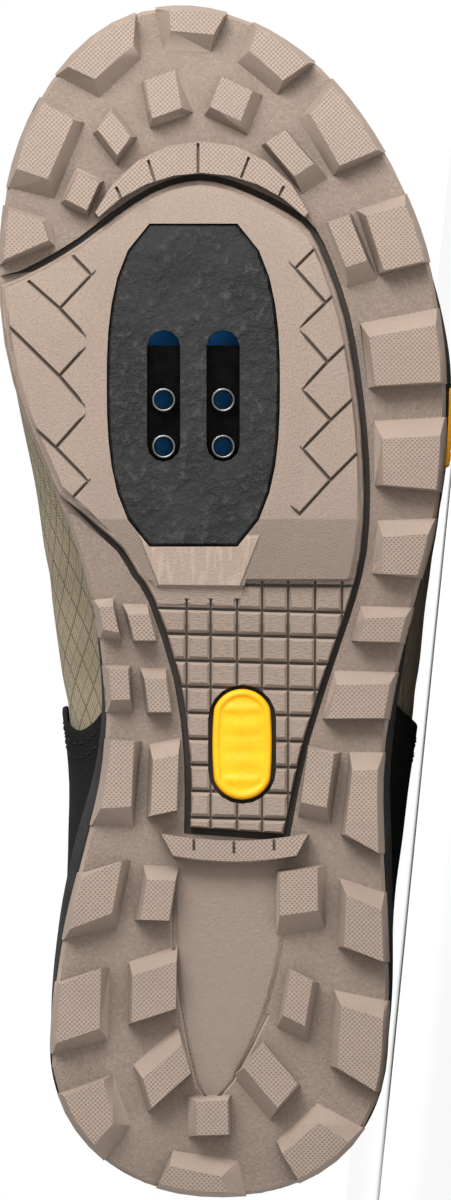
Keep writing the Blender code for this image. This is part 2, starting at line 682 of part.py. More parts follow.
def nut_plan(grow):
    half_width = NUT_WIDTH / 2 + grow
    half_length = NUT_LENGTH / 2 + grow
    corners = [(-half_width, -half_length), (half_width, -half_length),
               (half_width, half_length), (-half_width, half_length)]
    return np.array(corners) + np.array([PLATE_ACROSS * BALL_WIDTH, NUT_ALONG * SOLE_LENGTH])


def make_outsole(parts, cutters):
    """Rubber cup: slab with a rim, panel, pads and groove, with the plate's window and every lug."""
    top = LUG_HEIGHT + SLAB_THICKNESS
    edge = outline(0.0)
    inside = outline(RIM_WALL)
    rings = [
        at_level(outline(SLAB_TUCK), LUG_HEIGHT),
        at_level(edge, LUG_HEIGHT + SLAB_BEVEL),
        at_level(edge, rim_level(edge[:, 1])),
        at_level(inside, rim_level(edge[:, 1])),
        at_level(outline(RIM_WALL + 0.2 * MM), top),
    ]
    sole = loft("outsole", rings, parts)
    half = GROOVE_WIDTH / 2
    recess = prism("recess", panel_plan(half, -OVERRUN), -OVERRUN, GROOVE_FLOOR, cutters)
    combine(sole, recess, "DIFFERENCE")
    side = panel_plan(-half, PANEL_EDGE)
    panel = loft("panel", [at_level(panel_plan(-half - PANEL_BEVEL, PANEL_EDGE + PANEL_BEVEL), ARCH_LEVEL),
                           at_level(side, ARCH_LEVEL + 2 * PANEL_BEVEL),
                           at_level(side, GROOVE_FLOOR + PANEL_SINK)], cutters)
    combine(sole, panel, "UNION")
    step = 2 * PANEL_BEVEL
    foot = panel_plan(-half - step, PANEL_EDGE + step, ARCH_START)
    slant = step + PAD_SLANT
    pads = loft("pads", [at_level(panel_plan(-half - slant, PANEL_EDGE + slant, ARCH_START), PAD_LEVEL),
                         at_level(foot, ARCH_LEVEL + PANEL_BEVEL),
                         at_level(foot, GROOVE_FLOOR)], cutters)
    combine(sole, pads, "UNION")
    steep = 1 + OVERRUN / (PLATE_LEVEL - PAD_LEVEL)
    rim = plate_plan(steep * PLATE_SLOPE, steep * TOE_SLOPE, steep * HEEL_SLOPE)
    window = loft("window", [at_level(rim, PAD_LEVEL - OVERRUN),
                             at_level(plate_plan(CLEAR), PLATE_LEVEL - CLEAR),
                             at_level(plate_plan(CLEAR), top + OVERRUN)], cutters)
    combine(sole, window, "DIFFERENCE")
    centre = (INSET_ACROSS * BALL_WIDTH, INSET_ALONG * SOLE_LENGTH)
    pocket = stadium(centre, INSET_LENGTH + 2 * INSET_MARGIN, INSET_WIDTH + 2 * INSET_MARGIN, 11)
    combine(sole, prism("pocket", pocket, -OVERRUN, GROOVE_FLOOR, cutters), "DIFFERENCE")
    blocks = [edge_lug(row, cutters) for row in EDGE_LUGS]
    blocks += [inner_lug(row, cutters) for row in INNER_LUGS]
    blocks += [curved_bar(row, cutters) for row in CURVED_BARS]
    for block in blocks:
        combine(sole, block, "UNION")
    return bend(sole)


def make_midsole(parts, cutters):
    """Dark midsole in the rubber cup, flared over the rim, with a well for the threaded plate."""
    share = np.arange(EDGE_STEPS) / EDGE_STEPS
    edge = outline(0.0)
    flare = side_value(FLARE, share)
    inside = RIM_WALL + CLEAR + 0.2 * MM
    rim = rim_level(edge[:, 1]) + CLEAR
    foot = foot_level(edge[:, 1])
    rings = [
        at_level(outline(inside), LUG_HEIGHT + SLAB_THICKNESS + CLEAR),
        at_level(outline(inside), rim),
        at_level(outline(-0.2 * flare), rim),
        at_level(outline(-flare), rim + 0.7 * (foot - rim)),
        at_level(outline(0.5 * MM - flare), foot),
    ]
    midsole = loft("midsole", rings, parts, ladder=True)
    well = prism("well", nut_plan(CLEAR), LUG_HEIGHT, HEEL_STACK + OVERRUN, cutters)
    combine(midsole, well, "DIFFERENCE")
    return bend(midsole)


def make_plate(parts, cutters):
    """Stiff plate in the outsole's window, with two slots for the cleat's bolts."""
    top = PLATE_LEVEL + PLATE_THICKNESS
    rings = [at_level(plate_plan(-0.5 * MM), PLATE_LEVEL),
             at_level(plate_plan(0.0), PLATE_LEVEL + 0.5 * MM),
             at_level(plate_plan(0.0), top)]
    plate = loft("cleat_plate", rings, parts)
    for centre in slot_centres(SLOT_ALONG):
        slot = prism("slot", stadium(centre, SLOT_LENGTH, SLOT_WIDTH), 0.0, top + OVERRUN, cutters)
        combine(plate, slot, "DIFFERENCE")
    return bend(plate)


def make_nut(parts, cutters):
    """Threaded plate behind the slots, with four sleeves that reach into them."""
    low = PLATE_LEVEL + PLATE_THICKNESS + CLEAR
    nut = prism("cleat_nut", nut_plan(0.0), low, low + NUT_THICKNESS, parts)
    for x, y in slot_centres(SLEEVE_ALONG):
        for row in (-0.5, 0.5):
            centre = (x, y + row * SLEEVE_ROW)
            sleeve = stadium(centre, SLEEVE_WIDTH, SLEEVE_WIDTH)
            bore = stadium(centre, SLEEVE_BORE, SLEEVE_BORE)
            top = low + NUT_THICKNESS
            combine(nut, prism("sleeve", sleeve, PLATE_LEVEL + SLEEVE_DEPTH, top - CLEAR, cutters), "UNION")
            combine(nut, prism("bore", bore, PLATE_LEVEL - OVERRUN, top + OVERRUN, cutters), "DIFFERENCE")
    return bend(nut)


def make_insole(parts):
    """Foam footbed on the midsole, inside the upper."""
    plan = outline(INSOLE_INSET)
    foot = foot_level(plan[:, 1]) + CLEAR
    rings = [at_level(plan, foot), at_level(plan, foot + 0.8 * INSOLE_THICKNESS),
             at_level(outline(INSOLE_INSET + 0.6 * MM), foot + INSOLE_THICKNESS)]
    return bend(loft("insole", rings, parts, ladder=True))


def make_inset(parts):
    """Plain raised oval in the arch."""
    centre = (INSET_ACROSS * BALL_WIDTH, INSET_ALONG * SOLE_LENGTH)
    full = stadium(centre, INSET_LENGTH, INSET_WIDTH, 11)
    small = stadium(centre, INSET_LENGTH - 2 * INSET_BEVEL, INSET_WIDTH - 2 * INSET_BEVEL, 11)
    rings = [at_level(small, ARCH_LEVEL - 0.5 * MM), at_level(full, ARCH_LEVEL + 0.3 * MM),
             at_level(full, GROOVE_FLOOR - CLEAR)]
    return bend(loft("arch_inset", rings, parts))


def make_tab(parts):
    """Small plain tab on the outer side of the midsole."""
    middle = edge_share(TAB_ALONG, -1)
    reach = TAB_LENGTH / 2 / EDGE_LENGTH
    share = np.linspace(middle - reach, middle + reach, 6)
    flare = side_value(FLARE, share)
    low = rim_level(edge_point(share)[:, 1]) + TAB_RAISE
    rings = []
    for depth, lift in ((0.0, 0.0), (TAB_THICKNESS, 0.0), (TAB_THICKNESS, TAB_HEIGHT), (0.0, TAB_HEIGHT)):
        rings.append(at_level(edge_point(share, -flare - CLEAR - depth), low + lift))
    sections = [np.array([ring[i] for ring in rings]) for i in range(len(share))]
    return bend(loft("side_tab", sections, parts))


def upper_skin(run, way):
    """Skin of the upper. run goes from heel to toe, way from -1 at the outer sole edge over the
    ridge at 0 to 1 at the inner sole edge. Each side climbs from the feather line, swells to its
    widest place and closes to the ridge along a superellipse."""
    share = np.where(way >= 0, 0.5 + run / 2, 0.5 - run / 2)
    share = np.clip(share, 1e-6, 1 - 1e-6)
    foot = edge_point(share, FEATHER_INSET)
    swell = side_value(SWELL, share)
    wide = edge_point(share, FEATHER_INSET - swell)
    ridge_along = RIDGE_HEEL + (RIDGE_TOE - RIDGE_HEEL) * run
    ridge_x = BALL_WIDTH * (read(SOLE_PLAN, "centre", ridge_along) + RIDGE_LEAN * ease(run * 2))
    ridge = np.stack([ridge_x + 0 * way, ridge_along * SOLE_LENGTH + 0 * way], axis=-1)
    bottom = foot_level(foot[..., 1]) + CLEAR
    crown = INSTEP_HEIGHT * read(UPPER_FORM, "crown", run)
    waist = crown * read(UPPER_FORM, "waist", run)
    power = 2 / read(UPPER_FORM, "square", run)
    climb = 1 - np.abs(way)
    low = np.clip(climb / WAIST_SHARE, 0, 1)
    turn = np.clip((climb - WAIST_SHARE) / (1 - WAIST_SHARE), 0, 1) * math.pi / 2
    out = np.clip(np.cos(turn), 0, 1) ** power
    up = np.clip(np.sin(turn), 0, 1) ** power
    plan = foot + (wide - foot) * ease(low)[..., None]
    plan = np.where((climb > WAIST_SHARE)[..., None], ridge + (wide - ridge) * out[..., None], plan)
    z = bottom + waist * low + (crown - waist) * up
    z = z + rise(plan[..., 1])
    return np.concatenate([plan, z[..., None]], axis=-1)


def upper_normal(run, way):
    """Outward direction of the skin, kept level at the feather line."""
    step = 1e-3
    along = upper_skin(np.clip(run + step, 0, 1), way) - upper_skin(np.clip(run - step, 0, 1), way)
    around = upper_skin(run, np.clip(way + step, -1, 1)) - upper_skin(run, np.clip(way - step, -1, 1))
    normal = -np.cross(along, around)
    normal[..., 2] *= np.clip((1 - np.abs(way)) * 10, 0, 1)
    size = np.linalg.norm(normal, axis=-1)[..., None]
    return normal / np.maximum(size, 1e-12)


def upper_point(run, way, offset=0.0):
    run, way = np.broadcast_arrays(np.asarray(run, dtype=float), np.asarray(way, dtype=float))
    return upper_skin(run, way) + offset * upper_normal(run, way)


def upper_form(name, offset, drop, collection):
    """Closed body at an offset from the skin, its floor lowered by a drop."""
    run = np.linspace(0, 1, UPPER_RUN + 1)[:, None]
    way = np.linspace(-1, 1, UPPER_ROWS + 1)[None, :]
    grid = upper_point(run, way, offset)
    for end in (0, -1):
        grid[end] = (grid[end] + grid[end, ::-1]) / 2
    if drop:
        floor = grid[:, [0, -1]] - np.array([0, 0, drop])
        grid = np.concatenate([floor[:, :1], grid, floor[:, 1:]], axis=1)
    runs, ways = grid.shape[:2]
    faces = []
    for i in range(runs - 1):
        for j in range(ways):
            k = (j + 1) % ways
            here, beside = i * ways + j, i * ways + k
            faces.append((here, beside, beside + ways))
            faces.append((here, beside + ways, here + ways))
    return new_object(name, mesh_from(name, grid.reshape(-1, 3), faces), collection)


def collar_cutter(cutters):
    """Everything above the collar's rim."""
    along = column(COLLAR, "along")
    at = np.linspace(along[0], along[-1], 22)
    rim = np.stack([at * SOLE_LENGTH, smooth(at, along, column(COLLAR, "height")) * COLLAR_HEIGHT], axis=1)
    top = 2 * INSTEP_HEIGHT
    profile = np.vstack([rim, [(along[-1] * SOLE_LENGTH, top), (along[0] * SOLE_LENGTH, top)]])
    return side_prism("collar_cut", profile, cutters)


def side_prism(name, profile, cutters):
    """Prism across the shoe from a profile seen from the side."""
    rings = []
    for x in (-BALL_WIDTH, BALL_WIDTH):
        rings.append(np.column_stack([np.full(len(profile), x), profile]))
    return loft(name, rings, cutters)


def band_plan(half, toe, top, rounding, steps=12):
    """Plan of a strip along the ridge, with a rounded toe end."""
    run = np.linspace(top, toe, steps)
    run[-3:] = [toe - 0.5 * rounding, toe - 0.15 * rounding, toe]
    end = np.clip((run - toe + rounding) / rounding, 0, 1)
    width = half * np.sqrt(1 - 0.94 * end ** 2)
    inner = upper_point(run, width)[:, :2]
    outer = upper_point(run, -width)[:, :2]
    return np.vstack([inner, outer[::-1]])


def throat_cutter(cutters):
    plan = band_plan(THROAT_HALF, THROAT_TOE, THROAT_TOP, THROAT_ROUND)
    return prism("throat_cut", plan, HEEL_STACK, 2 * INSTEP_HEIGHT, cutters)


def overlay(name, low, high, region, parts, cutters):
    """Piece between two larger forms of the upper, inside a region."""
    piece = upper_form(name, high, 0, parts)
    combine(piece, region, "INTERSECT")
    combine(piece, upper_form("inner_form", low, FLOOR_DROP, cutters), "DIFFERENCE")
    return piece


def make_upper(parts, cutters):
    """Hollow upper, open at the collar, the throat and the sole."""
    upper = upper_form("upper", 0.0, 0, parts)
    combine(upper, upper_form("hollow", -UPPER_WALL, FLOOR_DROP, cutters), "DIFFERENCE")
    combine(upper, collar_cutter(cutters), "DIFFERENCE")
    combine(upper, throat_cutter(cutters), "DIFFERENCE")
    return flatten_seams(upper)


def make_counter(parts, cutters):
    """Heel counter and quarters over the upper."""
    front = np.stack([column(COUNTER, "along") * SOLE_LENGTH, column(COUNTER, "height") * COLLAR_HEIGHT], axis=1)
    back = [(-0.1 * SOLE_LENGTH, 2 * COLLAR_HEIGHT), (-0.1 * SOLE_LENGTH, -0.2 * COLLAR_HEIGHT)]
    top = [(front[-1, 0], 2 * COLLAR_HEIGHT)]
    region = side_prism("counter_region", np.vstack([front, top, back]), cutters)
    counter = overlay("heel_counter", CLEAR, CLEAR + OVERLAY, region, parts, cutters)
    combine(counter, collar_cutter(cutters), "DIFFERENCE")
    return flatten_seams(counter)


def make_eyestay(parts, cutters):
    """Facing round the throat that carries the eyelets."""
    plan = band_plan(THROAT_HALF + EYESTAY_MARGIN, THROAT_TOE + EYESTAY_TOE, THROAT_TOP + 0.1, 2 * THROAT_ROUND)
    region = prism("eyestay_region", plan, HEEL_STACK, 2 * INSTEP_HEIGHT, cutters)
    eyestay = overlay("eyestay", CLEAR, CLEAR + OVERLAY, region, parts, cutters)
    combine(eyestay, collar_cutter(cutters), "DIFFERENCE")
    combine(eyestay, throat_cutter(cutters), "DIFFERENCE")
    return flatten_seams(eyestay)


def make_tongue(parts, cutters):
    """Padded tongue under the throat, standing out past the collar."""
    plan = band_plan(TONGUE_HALF, TONGUE_TOE, TONGUE_TOP, THROAT_ROUND)
    region = prism("tongue_region", plan, HEEL_STACK, 2 * INSTEP_HEIGHT, cutters)
    outer = -UPPER_WALL - 1.3 * CLEAR
    tongue = overlay("tongue", outer - TONGUE_THICKNESS, outer, region, parts, cutters)
    return flatten_seams(tongue)


def eyelet_places():
    """run and way of each eyelet, the first row nearest the toe."""
    runs = np.linspace(EYELET_FIRST, EYELET_LAST, EYELET_ROWS)
    return [(float(run), side * (THROAT_HALF + EYELET_SET)) for run in runs for side in (-1, 1)]


def eyelet_mesh():
    """Flat ring as a turned rectangle."""
    work = bmesh.new()
    inner, outer = EYELET_BORE / 2, EYELET_WIDTH / 2
    corners = [(outer, 0, EYELET_THICKNESS), (outer, 0, 0), (inner, 0, 0), (inner, 0, EYELET_THICKNESS)]
    verts = [work.verts.new(corner) for corner in corners]
    edges = [work.edges.new((verts[i], verts[(i + 1) % 4])) for i in range(4)]
    bmesh.ops.spin(work, geom=verts + edges, cent=(0, 0, 0), axis=(0, 0, 1), angle=2 * math.pi, steps=10)
    bmesh.ops.remove_doubles(work, verts=work.verts, dist=0.001 * MM)
    bmesh.ops.recalc_face_normals(work, faces=work.faces)
    mesh = bpy.data.meshes.new("eyelet")
    work.to_mesh(mesh)
    work.free()
    return mesh


def make_eyelets(parts):
    """Metal rings on the eyestay, one pair a row."""
    mesh = eyelet_mesh()
    rings = []
    for number, (run, way) in enumerate(eyelet_places()):
        ring = new_object(f"eyelet_{number + 1:02d}", mesh, parts)
        normal = upper_normal(np.array(run), np.array(way))
        seat = upper_point(run, way, CLEAR + OVERLAY + EYELET_LIFT)
        ring.location = Vector(seat)
        ring.rotation_euler = Vector((0, 0, 1)).rotation_difference(Vector(normal)).to_euler()
        rings.append(ring)
    return rings


def flat_strip(start, end, collection):
    """Straight lace between two eyelets, on the upper's skin rolled out flat."""
    start = np.array([start[1] * SKIN_WIDTH, start[0] * SKIN_LENGTH])
    end = np.array([end[1] * SKIN_WIDTH, end[0] * SKIN_LENGTH])
    way = (end - start) / np.linalg.norm(end - start)
    side = np.array([-way[1], way[0]]) * LACE_WIDTH / 2
    start = start - way * LACE_OVERSHOOT
    end = end + way * LACE_OVERSHOOT
    plan = np.array([start - side, start + side, end + side, end - side])
    return prism("strip", plan, 0.0, LACE_THICKNESS, collection)


def make_lace(parts, cutters):
    """Crossings joined flat into one net, cut into bands and rolled onto the skin over the eyelets."""
    places = eyelet_places()
    lace = flat_strip(places[0], places[1], parts)
    lace.name = "lace"
    for row in range(EYELET_ROWS - 1):
        left, right = places[2 * row], places[2 * row + 1]
        next_left, next_right = places[2 * row + 2], places[2 * row + 3]
        combine(lace, flat_strip(left, next_right, cutters), "UNION")
        combine(lace, flat_strip(right, next_left, cutters), "UNION")
    low = CLEAR + OVERLAY + EYELET_LIFT + EYELET_THICKNESS + LACE_LIFT
    work = bmesh.new()
    work.from_mesh(lace.data)
    tidy(work)
    bmesh.ops.triangulate(work, faces=work.faces)
    for x in np.linspace(-1, 1, LACE_BANDS + 1) * (THROAT_HALF + EYELET_SET) * SKIN_WIDTH:
        everything = work.verts[:] + work.edges[:] + work.faces[:]
        bmesh.ops.bisect_plane(
            work, geom=everything, dist=0.0005 * MM, plane_co=(x, 0.0, 0.0), plane_no=(1, 0, 0))
    flat = np.array([vertex.co[:] for vertex in work.verts])
    run, way = flat[:, 1] / SKIN_LENGTH, flat[:, 0] / SKIN_WIDTH
    laid = upper_point(run, way) + (low + flat[:, 2])[:, None] * upper_normal(run, way)
    for vertex, point in zip(work.verts, laid):
        vertex.co = point
    bmesh.ops.triangulate(work, faces=work.faces)
    bmesh.ops.recalc_face_normals(work, faces=work.faces)
    work.to_mesh(lace.data)
    work.free()
    return lace


def finish(body, look):
    """Own material and smooth shading with sharp edges kept."""
    material = bpy.data.materials.new(body.name)
    material.use_nodes = True
    shader = material.node_tree.nodes["Principled BSDF"]
    shader.inputs["Base Color"].default_value = (look.red, look.green, look.blue, 1.0)
    shader.inputs["Roughness"].default_value = look.roughness
    shader.inputs["Metallic"].default_value = look.metallic
    material.diffuse_color = (look.red, look.green, look.blue, 1.0)
    if not body.data.materials:
        body.data.materials.append(material)
    body.data.shade_smooth()
    body.data.set_sharp_from_angle(angle=math.radians(30))


def world_points(body):
    points = np.array([vertex.co[:] for vertex in body.data.vertices])
    matrix = np.array(body.matrix_basis)
    return points @ matrix[:3, :3].T + matrix[:3, 3]


def balance_point(pieces):
    """Centre of the solids' weight."""
    total = 0.0
    moment = np.zeros(3)
    for body, look in pieces:
        points = world_points(body)
        body.data.calc_loop_triangles()
        corners = np.array([triangle.vertices[:] for triangle in body.data.loop_triangles])
        a, b, c = (points[corners[:, k]] for k in range(3))
        weight = look.density * np.sum(a * np.cross(b, c), axis=1) / 6
        total += weight.sum()
        moment += np.sum((a + b + c) / 4 * weight[:, None], axis=0)
    return Vector(moment / total)


def lying_turn(pieces):
    """Turn that lays the shoe on the outer face of its hull that its centre stands over."""
    hull = bmesh.new()
    for body, look in pieces:
        for point in world_points(body):
            hull.verts.new(point)
    shell = bmesh.ops.convex_hull(hull, input=hull.verts)
    loose = set(shell["geom_interior"]) | set(shell["geom_unused"])
    bmesh.ops.delete(hull, geom=[v for v in loose if isinstance(v, bmesh.types.BMVert)], context="VERTS")
    bmesh.ops.recalc_face_normals(hull, faces=hull.faces)
    tree = BVHTree.FromBMesh(hull)
    centre = balance_point(pieces)
    down = Vector((-1, 0, 0))
    for _ in range(30):
        normal = tree.ray_cast(centre, down)[1]
        if normal.dot(down) < 0:
            normal = -normal
        if (normal - down).length < 1e-7:
            break
        down = normal
    hull.free()
    up = -down
    toe = Vector((0, 1, 0))
    toe = (toe - up * toe.dot(up)).normalized()
    side = up.cross(toe)
    return Matrix((toe, side, up)).to_4x4()


def lay_down(pieces, parts):
    """Parents every piece to one empty, lays it on the ground and centres it there."""
    bodies = [body for body, look in pieces]
    turn = lying_turn(pieces)
    spin = np.array(turn)[:3, :3]
    points = np.concatenate([world_points(body) @ spin.T for body in bodies])
    low, high = points.min(axis=0), points.max(axis=0)
    shift = Vector((-(low[0] + high[0]) / 2, -(low[1] + high[1]) / 2, -low[2]))
    rest = bpy.data.objects.new("rest_pose", None)
    parts.objects.link(rest)
    rest.matrix_world = Matrix.Translation(shift) @ turn
    for body in bodies:
        body.parent = rest


def main():
    for old in list(bpy.data.objects):
        bpy.data.objects.remove(old)
    parts = bpy.data.collections.new("cycling_shoe")
    cutters = bpy.data.collections.new("cutters")
    for collection in (parts, cutters):
        bpy.context.scene.collection.children.link(collection)
    pieces = [
        (make_outsole(parts, cutters), TAUPE_RUBBER),
        (make_midsole(parts, cutters), BLACK_FOAM),
        (make_plate(parts, cutters), BLACK_PLATE),
        (make_nut(parts, cutters), NUT_STEEL),
        (make_insole(parts), BLUE_FOAM),
        (make_inset(parts), YELLOW_RUBBER),
        (make_tab(parts), YELLOW_RUBBER),
        (make_upper(parts, cutters), KHAKI_CLOTH),
        (make_counter(parts, cutters), BLACK_CLOTH),
        (make_eyestay(parts, cutters), BLACK_CLOTH),
        (make_tongue(parts, cutters), BLACK_CLOTH),
        (make_lace(parts, cutters), DARK_LACE),
    ]
    pieces += [(ring, EYELET_STEEL) for ring in make_eyelets(parts)]
    for body, look in pieces:
        finish(body, look)
    lay_down(pieces, parts)


main()
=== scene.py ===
# %% [markdown]
# # A left off-road cycling shoe, seen on its sole
#
# The shoe lies on its outer side, with the lugged sole towards the camera. Its solids come from the
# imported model, which is the fixed frame here. Every piece below takes its place from the same
# outline, heights and tables as those solids, so nothing has to be fitted by eye.

# %% Load the solids
import math

import bmesh
import bpy
import numpy as np
from mathutils import Matrix, Vector


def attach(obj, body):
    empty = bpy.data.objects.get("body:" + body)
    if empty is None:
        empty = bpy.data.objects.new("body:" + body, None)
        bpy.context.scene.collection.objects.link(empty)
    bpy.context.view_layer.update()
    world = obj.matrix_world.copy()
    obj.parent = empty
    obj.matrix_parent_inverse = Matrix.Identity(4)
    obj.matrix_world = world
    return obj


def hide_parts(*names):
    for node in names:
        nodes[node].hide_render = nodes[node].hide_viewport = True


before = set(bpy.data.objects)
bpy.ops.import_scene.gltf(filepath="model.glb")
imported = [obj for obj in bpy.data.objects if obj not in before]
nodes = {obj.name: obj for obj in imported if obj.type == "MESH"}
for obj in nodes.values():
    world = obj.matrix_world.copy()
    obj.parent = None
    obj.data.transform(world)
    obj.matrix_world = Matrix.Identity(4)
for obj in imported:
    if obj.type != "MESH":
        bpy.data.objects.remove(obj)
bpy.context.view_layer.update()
MM = 0.001
print("solids:", len(nodes))

# %% [markdown]
# ## Standing and lying
#
# A shoe is easiest to describe standing: x to the inner side, y from heel to toe, z up from the
# tread. The model lies on its side instead. One turn and one shift carry the first into the second,
# and they are applied to the points of every piece, so that each object stays at the origin.

# %% The turn from standing to lying
INNER_WAY = (-0.099668, -0.012167, 0.994946)
TOE_WAY = (0.995020, 0.000001, 0.099675)
UP_WAY = (-0.001214, 0.999926, 0.012106)
HEEL_POINT = (-0.138458, -0.055458, 0.036125)
REST = Matrix((INNER_WAY, TOE_WAY, UP_WAY)).transposed().to_4x4()
REST.translation = HEEL_POINT


def lying(points):
    """Standing points carried into the lying pose: each one times the turn, plus the heel point."""
    turn = np.array(REST)[:3, :3]
    return np.asarray(points, dtype=float) @ turn.T + np.array(HEEL_POINT)


print("toe tip lies at", np.round(lying([0.0, 0.281, 0.02]), 3))

# %% [markdown]
# ## The outline of the sole
#
# The sole's width is a smooth curve through a few measured half-widths, rounded off at the heel and
# the toe by a superellipse. Walking round it once gives each point of the edge a share from 0 to 1,
# and nearly every other piece is placed by such a share.

# %% Sole outline
SOLE_LENGTH, BALL_WIDTH = 281 * MM, 103.5 * MM
HEEL_ROUND, TOE_ROUND = 37 * MM, 76 * MM
ALONG = np.array([0, .13, .165, .232, .299, .349, .398, .449, .5, .549, .6, .65, .7, .75, .8, .85, .9, .95, 1])
CENTRE = np.array([.008, .013, .008, -.004, -.023, -.038, -.051, -.060, -.065, -.064, -.049, -.024, -.003,
                   .015, .029, .047, .064, .079, .102])
HALF_WIDTH = np.array([.382, .382, .381, .364, .337, .320, .321, .339, .368, .406, .445, .478, .497, .499,
                       .499, .499, .499, .499, .499])


def smooth(at, knots, values):
    """Cubic curve through the knots, with each slope taken from the two neighbours."""
    at, knots, values = (np.asarray(a, dtype=float) for a in (at, knots, values))
    slopes = np.gradient(values, knots)
    spot = np.clip(np.searchsorted(knots, at, side="right") - 1, 0, len(knots) - 2)
    span = knots[spot + 1] - knots[spot]
    t = np.clip((at - knots[spot]) / span, 0.0, 1.0)
    start = (1 + 2 * t) * (1 - t) ** 2 * values[spot] + t * (1 - t) ** 2 * span * slopes[spot]
    return start + t * t * (3 - 2 * t) * values[spot + 1] + t * t * (t - 1) * span * slopes[spot + 1]


def ease(t):
    """Soft step from 0 to 1."""
    t = np.clip(t, 0.0, 1.0)
    return t * t * (3 - 2 * t)


def edge_x(along, side):
    """Edge of the sole at a share of the length: centre plus side times the rounded half width."""
    back = np.clip(1 - along * SOLE_LENGTH / HEEL_ROUND, 0, 1)
    front = np.clip((along - 1) * SOLE_LENGTH / TOE_ROUND + 1, 0, 1)
    rounding = (1 - back ** 2.2) ** (1 / 2.2) * np.sqrt(1 - front ** 2)
    return BALL_WIDTH * (smooth(along, ALONG, CENTRE) + side * rounding * smooth(along, ALONG, HALF_WIDTH))


def walk_edge(samples=600):
    """Edge points, outward directions and shares of the way round, from the toe tip down the outer side."""
    along = (1 - np.cos(np.linspace(0, math.pi, samples))) / 2
    points, shares = [], []
    for side in (-1, 1):
        line = np.stack([edge_x(along, side), along * SOLE_LENGTH], axis=1)
        steps = np.hypot(*np.diff(line, axis=0).T)
        points.append(line)
        shares.append(np.concatenate([[0], np.cumsum(steps)]) / steps.sum() / 2)
    loop = np.concatenate([points[0][::-1], points[1][1:]])
    share = np.concatenate([0.5 - shares[0][::-1], 0.5 + shares[1][1:]])
    way = np.concatenate([loop[1:], loop[1:2]]) - np.concatenate([loop[-2:-1], loop[:-1]])
    way /= np.linalg.norm(way, axis=1)[:, None]
    outward = np.stack([-way[:, 1], way[:, 0]], axis=1)
    outward *= np.sign(np.sum(outward * (loop - loop.mean(axis=0)), axis=1))[:, None]
    return loop, outward, share


EDGE_LOOP, EDGE_OUTWARD, EDGE_SHARE = walk_edge()


def edge_point(share, depth=0.0):
    """Plan points at shares of the way round, a depth inside the edge."""
    share = np.asarray(share, dtype=float) % 1.0
    spot = [np.interp(share, EDGE_SHARE, EDGE_LOOP[:, k]) for k in (0, 1)]
    out = [np.interp(share, EDGE_SHARE, EDGE_OUTWARD[:, k]) for k in (0, 1)]
    size = np.hypot(*out)
    return np.stack([spot[0] - depth * out[0] / size, spot[1] - depth * out[1] / size], axis=-1)


print("edge runs", round(float(np.hypot(*np.diff(EDGE_LOOP, axis=0).T).sum()) / MM), "mm round the sole")

# %% [markdown]
# ## Heights
#
# A real sole isn't flat: it is bevelled at the heel, hollow in the arch and springs up at the toe.
# That lift is one function of the length, taken in straight bands as on the solids.

# %% Heights of the sole
STATIONS = np.concatenate([[-0.02, 0.0, 0.03, 0.06], 0.27 + 0.0525 * np.arange(7), 0.73 + 0.045 * np.arange(7)])
HEEL_BEVEL, ARCH_HOLLOW, TOE_SPRING = 2 * MM, 3 * MM, 16 * MM
PAD_LEVEL, ARCH_LEVEL, SLAB_LEVEL, RIM_TOP = 1.6 * MM, 3.5 * MM, 5 * MM, 9 * MM
PIXELS_A_MM, HEEL_PIXEL = 4.25, (225, 1197)


def smooth_lift(along):
    """Lift of the tread from the ground at a share of the length, without bands."""
    return (HEEL_BEVEL * np.clip((0.06 - along) / 0.06, 0, 1) ** 2
            + ARCH_HOLLOW * np.sin(math.pi * np.clip((along - 0.27) / 0.315, 0, 1)) ** 2
            + TOE_SPRING * np.clip((along - 0.73) / 0.27, 0, 1) ** 1.8)


STATION_RISE = smooth_lift(STATIONS)


def rise(y):
    """Lift of the tread from the ground at a distance from the heel."""
    return np.interp(np.asarray(y) / SOLE_LENGTH, STATIONS, STATION_RISE)


def foot_level(y):
    """Top of the midsole: 15 mm at the ball, 20 mm at the heel, with a soft ramp between."""
    return (15 + 5 * ease((0.62 - np.asarray(y) / SOLE_LENGTH) / 0.34)) * MM


def photo_mm(px, py):
    """Plan place of a point of the photograph."""
    return np.array([(HEEL_PIXEL[0] - px) / PIXELS_A_MM, (HEEL_PIXEL[1] - py) / PIXELS_A_MM]) * MM


print("lift at the toe", round(float(rise(SOLE_LENGTH)) / MM, 1), "mm")

# %% [markdown]
# ## Helpers for meshes
#
# Blender is quick when points and faces go into a mesh as whole arrays. A surface is a grid of
# points here, and its faces follow from the grid's two counts alone.

# %% Mesh helpers
PLAN, DOUBLE = "plan", 0.002 * MM


def grid_faces(rows, columns, wrap_rows=False, wrap_columns=False):
    """Four corners of each cell of a grid, with the last row or column joined to the first on wish."""
    i, j = np.meshgrid(np.arange(rows if wrap_rows else rows - 1),
                       np.arange(columns if wrap_columns else columns - 1), indexing="ij")
    k, m = (i + 1) % rows, (j + 1) % columns
    return np.stack([i * columns + j, k * columns + j, k * columns + m, i * columns + m], axis=-1).reshape(-1, 4)


def place(name, data):
    """New object of the scene that shows the data."""
    made = bpy.data.objects.new(name, data)
    bpy.context.scene.collection.objects.link(made)
    return made


def read(items, name, width=3, kind=float):
    """One attribute of all items as an array, with a row for each item."""
    values = np.empty(len(items) * width, dtype=kind)
    items.foreach_get(name, values)
    return values.reshape(-1, width) if width > 1 else values


